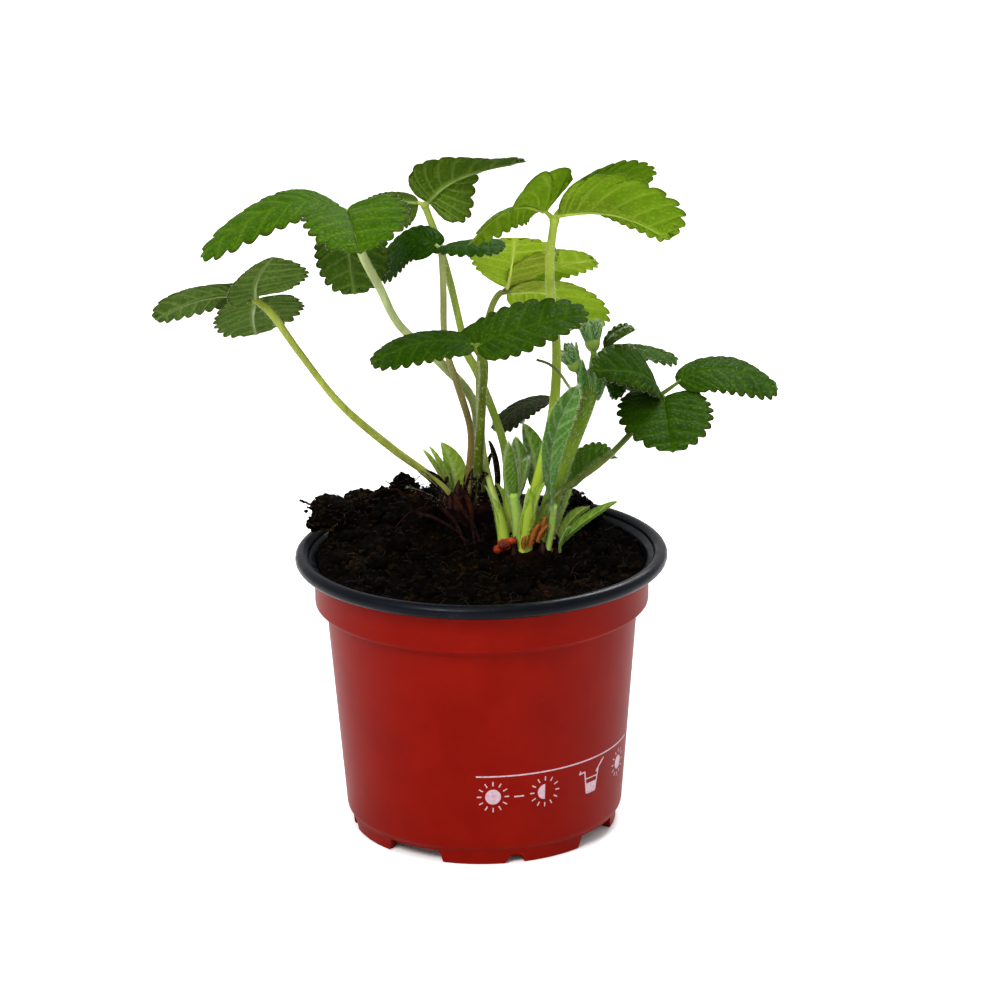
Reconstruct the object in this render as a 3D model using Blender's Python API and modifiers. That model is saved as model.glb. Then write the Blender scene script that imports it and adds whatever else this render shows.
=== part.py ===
"""A young strawberry plant in a round nursery pot.

The pot stands on four feet at z = 0 with its axis on Z.  Two crowns stand in the peat.  Each crown
carries long leaf stalks, and each stalk carries a leaf of three toothed leaflets.
All lengths in this file are millimetres; MM turns them into Blender's metres.
"""

import math

import bmesh
import bpy
from mathutils import Matrix, Vector, noise

MM = 0.001
GAP = 0.3                     # clearance between pieces that touch
SEED = 12
FLAT = 0.3                    # degrees: faces this close to one plane are joined after a Boolean

# ---------------------------------------------------------------- pot
POT_HEIGHT = 92.5
LIP_RADIUS = 60.0             # outermost radius of the rolled lip
LIP_ROLL = 2.3                # radius of the roll's section
COLLAR_RADIUS = 53.9
COLLAR_FOOT_Z = 75.0          # lower edge of the collar
BODY_TOP_RADIUS = 50.2
BODY_FOOT_RADIUS = 44.85
FOOT_RADIUS = 43.3
FOOT_WIDTH = 3.4              # flat ring that the pot stands on
FOOT_HEIGHT = 5.6
WALL = 0.9
FLOOR_TOP = 6.6
POT_STEPS = 36
FOOT_COUNT = 4
FOOT_AZIMUTH = -77.0          # degrees, middle of the foot nearest the front
NOTCH_ARC = 24.0              # degrees of ring cut away between two feet
NOTCH_SLOPE = 1.6             # how far each end of a notch leans, at its top
ARCH_RADIUS = 3.0             # small arch in the middle of each foot
DRAIN_COUNT = 6
DRAIN_RADIUS = 3.5
DRAIN_CIRCLE = 28.0

# ---------------------------------------------------------------- peat
PEAT_EDGE_GAP = 0.7           # between peat and pot wall
PEAT_RINGS = 9
PEAT_STEPS = 30
PEAT_BASE = 88.0              # height of the peat along the front
PEAT_ROUGH = 1.1
# each mound: x, y, height, spread along x, spread along y
PEAT_MOUNDS = (
    (-16.0, 26.0, 15.5, 34.0, 22.0),
    (13.0, 1.0, 4.5, 15.0, 14.0),
    (30.0, 38.0, 6.0, 16.0, 16.0),
    (-46.0, -6.0, 3.0, 14.0, 26.0),
)
# clods on the peat: centre and radii
PEAT_CLODS = (
    ((-48.5, 18.0, 98.3), (8.5, 9.0, 5.0)),
    ((-25.0, 31.0, 101.0), (5.0, 5.0, 6.0)),
    ((-39.0, 28.0, 98.5), (6.0, 7.0, 4.5)),
    ((30.0, 40.0, 94.0), (6.0, 5.0, 4.5)),
)

# ---------------------------------------------------------------- crowns: centre, radius, top, foot
CROWN_RIGHT = ((14.0, 1.0), 12.0, 97.0, 78.0)
CROWN_LEFT = ((-4.5, 20.0), 9.5, 105.0, 84.0)
CROWN_STEPS = 20

# ---------------------------------------------------------------- leaves
BLADE = 0.7                   # thickness of a leaf blade
HUB_RADIUS = 1.6              # knuckle that the three leaflets share
NECK = 3.6                    # top of the stalk that belongs to the blades
TEETH = 8.5                   # teeth on one side of a leaflet, counted over its whole edge
YOUNG_TEETH = 5.5             # the same for a young leaf
FIRST_TOOTH = 2               # the wedge at the foot of a leaflet is smooth
TOOTH_DEPTH = 0.13            # of the half width
WIDEST = 0.54                 # where a leaflet is widest, from foot to tip
VEIN_LEAN = 2.1               # how strongly the side veins lean towards the tip
RIB_END = 0.03                # share of the midrib at each end where the veins meet in one point

LEAF_GREEN = (0.035, 0.110, 0.012)
PALE_LEAF = (0.150, 0.260, 0.035)
STALK_GREEN = (0.330, 0.440, 0.080)
YOUNG_GREEN = (0.140, 0.260, 0.080)
BUD_GREEN = (0.100, 0.210, 0.070)
DRY_BROWN = (0.030, 0.012, 0.010)
CROWN_BROWN = (0.090, 0.020, 0.010)
PEAT_BLACK = (0.012, 0.009, 0.006)
POT_RED = (0.420, 0.055, 0.018)


def leaflet(base, middle, tip, face, half, fold=0.0, arch=0.0, lobe=0.03, widest=WIDEST, face_tip=None,
            fold_tip=None, settle=1.0):
    """One leaflet.  Three points that its midrib runs through, the way its upper side faces, half
    its width, the angle by which each half folds up, how far each half bends on its way out, how
    far its lower lobes reach back, and where it is widest.  A pair gives the right half first,
    seen from above towards the tip.  `face_tip` and `fold_tip` are the values that it has taken
    on where the midrib has run the share `settle`."""
    return {"base": base, "middle": middle, "tip": tip, "face": face, "half": pair(half), "fold": pair(fold),
            "arch": pair(arch), "lobe": lobe, "widest": widest, "face_tip": face_tip or face,
            "fold_tip": pair(fold if fold_tip is None else fold_tip), "settle": settle}


def pair(value):
    return value if isinstance(value, tuple) else (value, value)


# Each leaf: its stalk from foot to hub, the stalk's radius at foot and top, and its leaflets.
LEAVES = {
    "leaf_left": {
        "stalk": [(-9, 18, 103), (-12.5, 15, 108.5), (-18, 10, 115), (-28.5, -2, 127), (-43.5, -18, 146),
                  (-55.5, -30, 166.5), (-63, -36, 180), (-68, -38, 185.5)],
        "radii": (1.5, 1.1),
        "colour": PALE_LEAF,
        "leaflets": [
            leaflet((-70.5, -38, 186.5), (-84, -38.5, 186.5), (-100, -40, 180), (-0.1, 0.56, 0.83), 12.5,
                    fold=4, arch=-14),
            leaflet((-68.5, -35.5, 184), (-70.5, -26, 177), (-71.5, -12, 167), (0, 0.6, 0.8), (17.5, 12.5),
                    fold=(24, -4), arch=-6, lobe=0.05, widest=0.5),
            leaflet((-68, -40.5, 187.5), (-67.5, -49, 194.5), (-63.5, -56, 202), (0.05, 0.6, 0.8), (10.5, 15),
                    fold=(-34, 10), lobe=0.04, widest=0.58),
        ],
    },
    "leaf_upper_left": {
        "stalk": [(-0.5, 25.5, 99), (0.5, 24, 110), (-0.5, 21.5, 122), (-2.5, 18.5, 137), (-12.5, 12, 151),
                  (-25, 4, 165.5), (-31, 0, 179), (-36, -4, 190.5), (-41, -8, 205)],
        "radii": (1.7, 1.35),
        "colour": LEAF_GREEN,
        "leaflets": [
            leaflet((-44, -8.5, 206.5), (-62, -13, 208.5), (-86, -16, 194), (0, -0.12, 0.99), (13.5, 14.5),
                    arch=(-12, -20)),
            leaflet((-40.5, -11, 207), (-38.5, -28, 207), (-35.5, -43.5, 201.5), (-0.1, -0.08, 1),
                    (16, 17.5), fold=8, arch=-14, lobe=0.05, widest=0.5),
            leaflet((-41, -5.5, 202.5), (-41, 3, 190.5), (-40, 6, 176), (0, 0.85, 0.5), 12.5, arch=-8),
        ],
    },
    "leaf_top": {
        "stalk": [(9, 5.5, 92), (9, 7.5, 108), (7.5, 10, 124.5), (0, 15.5, 145), (-4, 16.5, 153), (-5.5, 17, 160),
                  (-9, 17, 176.5), (-13, 15, 191.5), (-16.5, 14, 202)],
        "radii": (1.6, 1.15),
        "colour": PALE_LEAF,
        "leaflets": [
            leaflet((-14.5, 13.5, 204), (-4.5, 10, 212.5), (15.5, 8, 217.5), (-0.1, 0.9, 0.3), (15.5, 13),
                    fold=(0, 0), arch=(-4, -24), lobe=0.05, widest=0.42, face_tip=(0, 0.2, 1), fold_tip=(0, 24)),
            leaflet((-19, 14.5, 203), (-27, 18, 203), (-36, 22, 199.5), (0, 0.35, 0.93), 10),
        ],
    },
    "leaf_dark": {
        "stalk": [(-4, 20.5, 99), (-3.5, 19, 112), (-3, 16, 127), (-7, 12, 143.5), (-9.5, 10, 152),
                  (-11, 8, 161.5), (-11, 6, 176.5), (-11.5, 4, 190)],
        "radii": (1.4, 1.0),
        "colour": LEAF_GREEN,
        "leaflets": [
            leaflet((-14, 5, 190.5), (-22, 9, 191), (-31.5, 16, 179), (0, -0.35, 1), (8.5, 11),
                    arch=(-10, -14)),
            leaflet((-9, 3, 190.5), (-1, -2, 191.5), (9.5, -5, 190.5), (0, -0.02, 1), (12, 10),
                    arch=(-20, -8)),
        ],
    },
    "leaf_front": {
        "stalk": [(-2, 15, 100), (-1.7, 11, 109.5), (-0.7, 2.5, 118.5), (0, -5, 131), (1, -13, 147),
                  (1.5, -21.5, 159.5), (-0.5, -26, 166)],
        "radii": (1.7, 1.35),
        "colour": LEAF_GREEN,
        "leaflets": [
            leaflet((-3.5, -25, 167), (-16.5, -26, 167.5), (-33.5, -28, 161.5), (0, -0.12, 0.99), 12, arch=-14),
            leaflet((2, -26, 167.5), (14.5, -25, 172), (34.5, -20, 175), (-0.1, -0.36, 0.93), (16, 14.5),
                    fold=3, arch=-6, lobe=0.14, widest=0.42),
        ],
    },
    "leaf_pale": {
        "stalk": [(7.5, -3, 91), (7, -2, 98), (5.5, 1, 105), (3, 5, 113), (1, 7, 122), (0, 7.5, 137),
                  (0, 10.5, 147), (1, 17, 155), (4, 25, 164.5), (6.5, 29, 168.5), (9, 30, 169.5)],
        "radii": (1.3, 1.0),
        "colour": PALE_LEAF,
        "leaflets": [
            leaflet((9.5, 28, 172), (11, 19, 181), (13, 9, 190), (0, 0.7, 0.71), 13, arch=-4, lobe=0.0,
                    widest=0.62),
            leaflet((12.5, 30, 171.5), (24, 27, 178), (38.5, 22, 180.5), (-0.2, 0.62, 0.75), (12, 10), arch=-8),
            leaflet((12, 32, 168), (26.5, 38, 165.5), (39.5, 45, 152), (0.1, 0.62, 0.78), (13, 16),
                    arch=(-10, -26)),
        ],
    },
    "leaf_upper_right": {
        "stalk": [(13.5, -6.5, 91), (14.5, -6.5, 100), (15.5, -7.5, 107), (21.5, -7, 130), (24, -6, 145),
                  (24.5, -5, 162), (23, -7, 175.5), (22.5, -11, 190), (24, -14, 203.5)],
        "radii": (2.0, 1.35),
        "colour": PALE_LEAF,
        "leaflets": [
            leaflet((21.5, -13.5, 206), (10.5, -12, 207), (-2.5, -8, 195), (0, 0.71, 0.71), (13, 16),
                    fold=(30, 42), lobe=0.18, widest=0.36, face_tip=(-0.2, 0.6, 0.8), fold_tip=(-14, -26),
                    settle=0.36),
            leaflet((27, -15, 205.5), (43, -13, 208), (62, -9, 201), (0, 0.755, 0.656), (15, 14),
                    fold=(30, 24), lobe=0.06, widest=0.56, fold_tip=(-14, -4), settle=0.7),
            leaflet((26, -10.5, 207), (42.5, -2, 212.5), (56, 5, 213), (-0.1, 0.75, 0.65), 11.5, arch=-6),
        ],
    },
    "leaf_right": {
        "stalk": [(18.8, -3, 91), (19, -1.5, 99), (20.5, 0, 105), (25.5, 2.5, 110), (38.5, 11, 116.5),
                  (48, 24, 121.5), (55.5, 36, 127), (59.5, 41.5, 130.5)],
        "radii": (1.3, 1.0),
        "colour": LEAF_GREEN,
        "leaflets": [
            leaflet((57.5, 38.5, 135), (49.5, 27, 145), (37, 17, 151), (0.2, -0.45, 0.88), (10.5, 9.5),
                    arch=-16, widest=0.34, lobe=0.08),
            leaflet((66.5, 44, 134.5), (81, 47, 138), (99, 50, 129.5), (0, -0.12, 0.99), 12, arch=-14),
            leaflet((61.5, 38.5, 130), (62.5, 27, 126.5), (63.5, 12.5, 120), (0, -0.25, 0.97), 15.5, fold=8,
                    arch=-10, lobe=0.08, widest=0.5),
        ],
    },
    "leaf_low": {
        "stalk": [(14, 7.5, 92), (16, 12, 104), (20.5, 20, 114), (24.5, 28, 124.5), (25, 34, 131)],
        "radii": (1.1, 0.9),
        "colour": LEAF_GREEN,
        "leaflets": [
            leaflet((23, 34.5, 132), (13.5, 33, 132.5), (3.5, 30, 121.5), (0, -0.05, 1), (6, 9.5), arch=-10),
        ],
    },
}

# The flowering shoot: a thick stalk, two young leaves and two buds.
SHOOT = {"stalk": [(19.5, 5, 91), (20.5, 5.5, 97), (24.5, 8, 110.5), (28.5, 13, 120.5), (33, 19, 130.5),
                   (36, 24, 138), (36.3, 27, 144)],
         "radii": (2.4, 2.1)}
SHOOT_LEAF_FOLDED = {
    "teeth": YOUNG_TEETH,
    "stalk": [(37.8, 28.6, 141.5), (39.5, 33, 145), (41, 36, 148)],
    "leaflets": [
        leaflet((41.3, 36, 148), (45.6, 36.4, 152), (51, 37, 155), (-0.5, 0, 0.8), 5.2, fold=45),
        leaflet((41.5, 38, 147.5), (54.5, 48, 145.6), (66, 52, 141.3), (0.1, 0.1, 1), 6.8, arch=-6),
    ],
}
SHOOT_LEAF_DARK = {
    "teeth": YOUNG_TEETH,
    "stalk": [(38.4, 26.6, 139), (39.5, 29, 140), (40.5, 31.5, 140.5)],
    "leaflets": [
        leaflet((38.5, 31, 142), (43, 35.5, 138.5), (48, 38, 133), (0.2, -0.6, 0.75), 7.5, arch=-8),
        leaflet((41, 32, 140), (49, 42, 135), (55, 46, 127.5), (0.2, -0.5, 0.8), 5, arch=-8),
    ],
}
# buds: foot, tip, radius
BUDS = {
    "bud_upper": ((37.4, 29.8, 147.6), (36.6, 31.6, 156.2), 3.6),
    "bud_lower": ((32.8, 25.2, 142.5), (28.5, 24.5, 151), 3.4),
}

# Young leaves that are still folded, each on a stalk of its own.
YOUNG_LEAVES = {
    "young_leaf_middle": {
        "teeth": YOUNG_TEETH,
        "stalk": [(12, -0.5, 92), (11.5, -1.5, 103), (10.5, -2, 111)],
        "radii": (1.8, 1.5),
        "leaflets": [
            leaflet((9.8, -2.2, 110), (7.6, -3, 118), (9.5, -3.5, 128), (0.7, 0.6, 0.2), 4.2, fold=48),
            leaflet((11, -2, 110.5), (12.5, -2, 119), (10.8, -3, 129.5), (-0.2, 0.95, 0.1), 3.6, fold=40),
            leaflet((11.6, -1.8, 110), (14, -1.5, 116), (15.5, -2, 122), (-0.5, 0.8, 0.2), 3.0, fold=40),
        ],
    },
    "young_leaf_back": {
        "teeth": YOUNG_TEETH,
        "stalk": [(16, 1.5, 92), (17, 2.5, 104), (17.5, 3, 112)],
        "radii": (1.1, 0.9),
        "leaflets": [
            leaflet((17.5, 3, 112), (17, 3.5, 122), (14.5, 4, 132.5), (0.3, 0.9, 0.2), 4.2, fold=24),
        ],
    },
    "young_leaf_right": {
        "teeth": YOUNG_TEETH,
        "stalk": [(23, 6.3, 91), (25.5, 9.5, 99), (29, 15, 107)],
        "radii": (0.8, 0.8),
        "leaflets": [
            leaflet((29, 15, 107), (36, 21, 113.5), (43.5, 25, 114), (0.1, -0.3, 0.95), 6.5, fold=38),
        ],
    },
    "hairy_sheath": {
        "stalk": [(21, -5, 91), (22.5, -6, 100), (23.5, -8, 109)],
        "radii": (1.1, 0.9),
        "leaflets": [
            leaflet((23.5, -8, 109), (25, -14.5, 131), (30.5, -16, 147), (0.1, -0.95, 0.3), 3.6, fold=26),
        ],
    },
}

# Bracts and stipules: plain pointed blades.  Points that the middle line runs through, the way
# the inner side faces, half width and fold.
BRACTS = {
    "stipules_left": {
        "colour": STALK_GREEN,
        "blades": [
            leaflet((-10.4, 21, 104.3), (-14.5, 20, 112.5), (-18.5, 19, 119.5), (0.8, 0, 0.5), 2.6, fold=20),
            leaflet((-10.2, 21, 104.3), (-13, 19.5, 113), (-16.5, 18.5, 121), (0.8, 0.4, 0.4), 2.6, fold=20),
            leaflet((-10, 21, 104.3), (-9.8, 21, 113.5), (-13, 19.5, 122.5), (0.3, 0.9, 0.3), 3.8, fold=16),
        ],
    },
    "bract_long": {
        "colour": YOUNG_GREEN,
        "blades": [leaflet((25.65, -0.9, 93), (33, 0.4, 99.3), (44, 5, 105.5), (-0.4, 0, 0.9), 3.0, fold=26)],
    },
    "bract_wide": {
        "colour": STALK_GREEN,
        "blades": [leaflet((25.5, 3.2, 93), (30, 5.1, 99.3), (35, 7.9, 102.5), (-0.5, 0, 0.8), 3.0, fold=22)],
    },
    "bract_low": {
        "colour": YOUNG_GREEN,
        "blades": [leaflet((25.2, -5.2, 92), (26.3, -4, 96.5), (28.5, -2.5, 99.5), (-0.5, 0.2, 0.8), 1.8, fold=20)],
    },
    "dry_stipule": {
        "colour": DRY_BROWN,
        "blades": [leaflet((4.1, 13.8, 101), (4.8, 11.5, 113), (2.8, 12.5, 124.5), (0.8, -0.5, 0.2), 1.5, fold=30)],
    },
    "dry_bract": {
        "colour": DRY_BROWN,
        "blades": [leaflet((-11.5, 13.4, 101), (-17, 7.5, 107), (-23.5, 1, 112.5), (0, 0, 1), 1.8, fold=24)],
    },
}

YOUNG_RUNNER = {"stalk": [(18, -17, 159.5), (22, -17, 158), (25.5, -16.5, 154.5), (28, -8, 148.5),
                          (30.5, 6, 142), (32.3, 15, 138), (34.0, 20.2, 136.3)],
                "radii": (0.45, 0.6)}


# ================================================================ helpers
def vec(point):
    return Vector(point) * MM


def material(name, colour, roughness, metallic=0.0):
    mat = bpy.data.materials.new(name)
    mat.use_nodes = True
    shader = mat.node_tree.nodes["Principled BSDF"]
    shader.inputs["Base Color"].default_value = (*colour, 1.0)
    shader.inputs["Roughness"].default_value = roughness
    shader.inputs["Metallic"].default_value = metallic
    mat.diffuse_color = (*colour, 1.0)
    return mat


def add_object(name, mesh, collection):
    obj = bpy.data.objects.new(name, mesh)
    collection.objects.link(obj)
    return obj


def evaluated_mesh(obj, flat_limit=0.0):
    bpy.context.view_layer.update()
    graph = bpy.context.evaluated_depsgraph_get()
    mesh = bpy.data.meshes.new_from_object(obj.evaluated_get(graph), depsgraph=graph)
    shape = bmesh.new()
    shape.from_mesh(mesh)
    bmesh.ops.remove_doubles(shape, verts=shape.verts, dist=2e-6)
    bmesh.ops.dissolve_degenerate(shape, dist=2e-6, edges=shape.edges)
    if flat_limit:
        bmesh.ops.dissolve_limit(shape, angle_limit=math.radians(flat_limit), verts=shape.verts,
                                 edges=shape.edges)
        bmesh.ops.triangulate(shape, faces=shape.faces)
    shape.to_mesh(mesh)
    shape.free()
    return mesh


def smooth_path(points, per_span=2):
    """Points on a Catmull-Rom curve through the given points."""
    pts = [Vector(p) for p in points]
    ends = [2 * pts[0] - pts[1]] + pts + [2 * pts[-1] - pts[-2]]
    path = []
    for i in range(1, len(ends) - 2):
        a, b, c, d = ends[i - 1:i + 3]
        for k in range(per_span):
            t = k / per_span
            path.append(0.5 * (2 * b + (c - a) * t + (2 * a - 5 * b + 4 * c - d) * t * t
                               + (3 * b - a - 3 * c + d) * t ** 3))
    path.append(pts[-1])
    return path


def shorten(path, length):
    """The path without its last stretch of the given length, and that stretch."""
    cut = 0.0
    for i in range(len(path) - 1, 0, -1):
        step = (path[i] - path[i - 1]).length
        if cut + step > length:
            corner = path[i].lerp(path[i - 1], (length - cut) / step)
            return path[:i] + [corner], [corner] + path[i:]
        cut += step
    return path, []


def tube(name, path, radii, collection, grow=0.0, resolution=1):
    """A round rod along the path, as a closed mesh.  Its radius runs from radii[0] to radii[1]."""
    curve = bpy.data.curves.new(name, "CURVE")
    curve.dimensions = "3D"
    curve.bevel_depth = MM
    curve.bevel_resolution = resolution
    curve.use_fill_caps = True
    spline = curve.splines.new("POLY")
    spline.points.add(len(path) - 1)
    for i, point in enumerate(path):
        part = i / (len(path) - 1)
        spline.points[i].co = (*(point * MM), 1.0)
        spline.points[i].radius = radii[0] + (radii[1] - radii[0]) * part ** 0.6 + grow
    rod = add_object(name + "_curve", curve, collection)
    mesh = evaluated_mesh(rod)
    matrix = rod.matrix_world.copy()
    bpy.data.objects.remove(rod)
    obj = add_object(name, mesh, collection)
    obj.matrix_world = matrix
    return obj


def turned(name, profile, steps, collection):
    """A turned solid from (radius, z) points that run up the inside and down the outside."""
    mesh = bpy.data.meshes.new(name)
    points = [(r * MM, 0.0, z * MM) for r, z in profile]
    mesh.from_pydata(points, [(i, i + 1) for i in range(len(profile) - 1)], [])
    obj = add_object(name, mesh, collection)
    screw = obj.modifiers.new("turn", "SCREW")
    screw.axis = "Z"
    screw.steps = steps
    screw.render_steps = steps
    screw.use_merge_vertices = True
    screw.merge_threshold = 1e-5
    return obj


def apply_modifiers(obj, flat_limit=0.0):
    mesh = evaluated_mesh(obj, flat_limit)
    old = obj.data
    obj.modifiers.clear()
    obj.data = mesh
    bpy.data.meshes.remove(old)


def cut(obj, cutter):
    """Take the cutter's shape out of the object, and remove the cutter."""
    tool = obj.modifiers.new("cut", "BOOLEAN")
    tool.operation = "DIFFERENCE"
    tool.object = cutter
    apply_modifiers(obj, FLAT)
    bpy.data.objects.remove(cutter)


def fuse(name, pieces, collection):
    """Join pieces into one body with a single Boolean union."""
    first = pieces[0]
    group = bpy.data.collections.new(name + "_parts")
    bpy.context.scene.collection.children.link(group)
    for piece in pieces[1:]:
        for old in piece.users_collection:
            old.objects.unlink(piece)
        group.objects.link(piece)
    if len(pieces) > 1:
        joint = first.modifiers.new("join", "BOOLEAN")
        joint.operation = "UNION"
        joint.operand_type = "COLLECTION"
        joint.use_self = True
        joint.collection = group
    mesh = evaluated_mesh(first)
    for piece in pieces:
        bpy.data.objects.remove(piece)
    bpy.data.collections.remove(group)
    return add_object(name, mesh, collection)


def finish(obj, mat, angle=40.0):
    obj.data.materials.clear()
    obj.data.materials.append(mat)
    obj.data.shade_smooth()
    obj.data.set_sharp_from_angle(angle=math.radians(angle))
    return obj


# ================================================================ leaf blades
def midrib_point(spec, t):
    base, middle, tip = (Vector(spec[k]) for k in ("base", "middle", "tip"))
    knee = 2 * middle - (base + tip) / 2
    return base * (1 - t) ** 2 + knee * 2 * t * (1 - t) + tip * t * t


def blade_point(spec, along, out):
    """A point of the leaflet: `along` the midrib from 0 to 1, `out` millimetres to its right."""
    blend = min(max(along, 0.0), 1.0)
    step = 0.01
    ahead = midrib_point(spec, min(blend + step, 1.0))
    behind = midrib_point(spec, max(blend - step, 0.0))
    direction = (ahead - behind).normalized()
    length = (Vector(spec["tip"]) - Vector(spec["base"])).length
    here = midrib_point(spec, blend) + direction * (along - blend) * length
    turned = min(blend / spec["settle"], 1.0)
    face = Vector(spec["face"]).lerp(Vector(spec["face_tip"]), turned)
    side = direction.cross(face).normalized()
    up = side.cross(direction).normalized()
    which = 0 if out >= 0.0 else 1
    reach = abs(out)
    start = math.radians(spec["fold"][which] * (1 - turned) + spec["fold_tip"][which] * turned)
    bend = math.radians(spec["arch"][which]) or 1e-4
    radius = spec["half"][which] / bend
    turn = start + reach / radius
    across = radius * (math.sin(turn) - math.sin(start))
    lift = radius * (math.cos(start) - math.cos(turn))
    return here + side * math.copysign(across, out) + up * lift


def edge_point(spec, part, which):
    """Place of the plain edge at `part` (0 foot, 1 tip): share of the length, and reach in mm."""
    angle = math.pi * part
    widest = spec["widest"]
    if angle < math.pi / 2:
        along = widest * (1 - math.cos(angle)) - spec["lobe"] * math.sin(2 * angle) ** 2
        reach = math.sin(angle) ** 1.15
    else:
        along = widest - (1 - widest) * math.cos(angle)
        reach = math.sin(angle) ** 0.68
    return along, reach * spec["half"][which]


def blade(name, spec, collection, teeth=TEETH, toothed=True):
    """A leaflet as a thin solid whose edge is cut into teeth."""
    count = math.ceil(teeth)
    first = FIRST_TOOTH if teeth > 8.0 else 1
    parts = [min(i / teeth, 1.0) for i in range(count + 1)]
    shape = bmesh.new()
    foot = shape.verts.new(blade_point(spec, 0.0, 0.0) * MM)
    tip = shape.verts.new(blade_point(spec, 1.0, 0.0) * MM)
    rib = {}

    def place(part, share, which):
        along, reach = edge_point(spec, part, which)
        root = max(along, 0.0) ** VEIN_LEAN
        out = reach * share * (1.0 if which == 0 else -1.0)
        return shape.verts.new(blade_point(spec, root + (along - root) * share, out) * MM)

    def face(which, *corners):
        if len(set(corners)) == 3:
            shape.faces.new(corners if which == 0 else corners[::-1])

    for which in (0, 1):
        inner, edge = {}, {}
        for i, part in enumerate(parts):
            if part == 1.0:
                rib[i] = inner[i] = edge[i] = tip
                continue
            root = max(edge_point(spec, part, which)[0], 0.0) ** VEIN_LEAN
            if i <= first or root < RIB_END:
                rib[i] = foot
            elif root > 1.0 - RIB_END:
                rib[i] = tip
            elif which == 0:
                rib[i] = place(part, 0.0, which)
            if i >= first:
                inner[i] = place(part, 0.6, which)
                notch = toothed and i > first
                edge[i] = place(part, 1.0 - TOOTH_DEPTH if notch else 1.0, which)
        for i in range(first, count):
            j = i + 1
            if rib[i] is tip:
                break
            face(which, rib[i], rib[j], inner[j])
            face(which, rib[i], inner[j], inner[i])
            if toothed and parts[j] < 1.0:
                peak = place(parts[i] + 0.62 * (parts[j] - parts[i]), 1.0, which)
                face(which, inner[i], peak, edge[i])
                face(which, inner[i], inner[j], peak)
                face(which, inner[j], edge[j], peak)
            else:
                face(which, inner[i], inner[j], edge[j])
                face(which, inner[i], edge[j], edge[i])
    bmesh.ops.recalc_face_normals(shape, faces=shape.faces)
    mesh = bpy.data.meshes.new(name)
    shape.to_mesh(mesh)
    shape.free()
    obj = add_object(name, mesh, collection)
    skin = obj.modifiers.new("blade", "SOLIDIFY")
    skin.thickness = BLADE * MM
    skin.offset = 0.0
    apply_modifiers(obj)
    return obj


def knuckle(name, centre, radius, collection):
    mesh = bpy.data.meshes.new(name)
    shape = bmesh.new()
    bmesh.ops.create_icosphere(shape, subdivisions=1, radius=radius * MM,
                               matrix=Matrix.Translation(vec(centre)))
    shape.to_mesh(mesh)
    shape.free()
    return add_object(name, mesh, collection)


def leaf_blades(name, leaf, collection, neck_path, neck_radius):
    """The leaflets of one leaf, joined at the top of the stalk."""
    hub = Vector(leaf["stalk"][-1])
    pieces = [knuckle(name + "_hub", hub, max(HUB_RADIUS, neck_radius * 1.15), collection),
              tube(name + "_neck", neck_path, (neck_radius, neck_radius * 0.9), collection)]
    for i, spec in enumerate(leaf["leaflets"]):
        foot = Vector(spec["base"])
        way = [hub, hub.lerp(foot, 0.6), foot.lerp(midrib_point(spec, 0.1), 0.6)]
        pieces.append(tube(f"{name}_link_{i}", way, (0.95, 0.8), collection, resolution=0))
        pieces.append(blade(f"{name}_{i}", spec, collection, leaf.get("teeth", TEETH)))
    return fuse(name, pieces, collection)


# ================================================================ sub-parts
def pot_profile():
    """Section of the thin wall, from the floor's middle up the inside and down the outside."""
    roll_x = LIP_RADIUS - LIP_ROLL
    roll_z = POT_HEIGHT - LIP_ROLL
    inner = [(0.0, FLOOR_TOP), (BODY_FOOT_RADIUS - 2.2, FLOOR_TOP), (BODY_FOOT_RADIUS - WALL, FLOOR_TOP + 1.4),
             (BODY_TOP_RADIUS - WALL, COLLAR_FOOT_Z - 2.0), (COLLAR_RADIUS - WALL - 0.9, COLLAR_FOOT_Z + 0.4),
             (COLLAR_RADIUS - WALL, COLLAR_FOOT_Z + 1.8), (COLLAR_RADIUS - WALL, roll_z - LIP_ROLL - 0.8)]
    roll = [(roll_x + LIP_ROLL * math.cos(a), roll_z + LIP_ROLL * math.sin(a))
            for a in (math.radians(d) for d in range(180, -91, -34))]
    outer = [(COLLAR_RADIUS + 0.9, roll_z - LIP_ROLL), (COLLAR_RADIUS, roll_z - LIP_ROLL - 1.2),
             (COLLAR_RADIUS, COLLAR_FOOT_Z + 0.8), (COLLAR_RADIUS - 0.8, COLLAR_FOOT_Z),
             (BODY_TOP_RADIUS + 0.5, COLLAR_FOOT_Z - 1.0), (BODY_TOP_RADIUS, COLLAR_FOOT_Z - 1.8),
             (BODY_FOOT_RADIUS, FOOT_HEIGHT + 0.3), (FOOT_RADIUS + 0.6, FOOT_HEIGHT - 0.5),
             (FOOT_RADIUS, FOOT_HEIGHT - 1.4), (FOOT_RADIUS - 0.3, 0.0), (FOOT_RADIUS - FOOT_WIDTH, 0.0),
             (FOOT_RADIUS - FOOT_WIDTH - 0.4, FOOT_HEIGHT - 0.6), (FOOT_RADIUS - FOOT_WIDTH - 1.2, FOOT_HEIGHT),
             (0.0, FOOT_HEIGHT)]
    return inner + roll + outer


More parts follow.
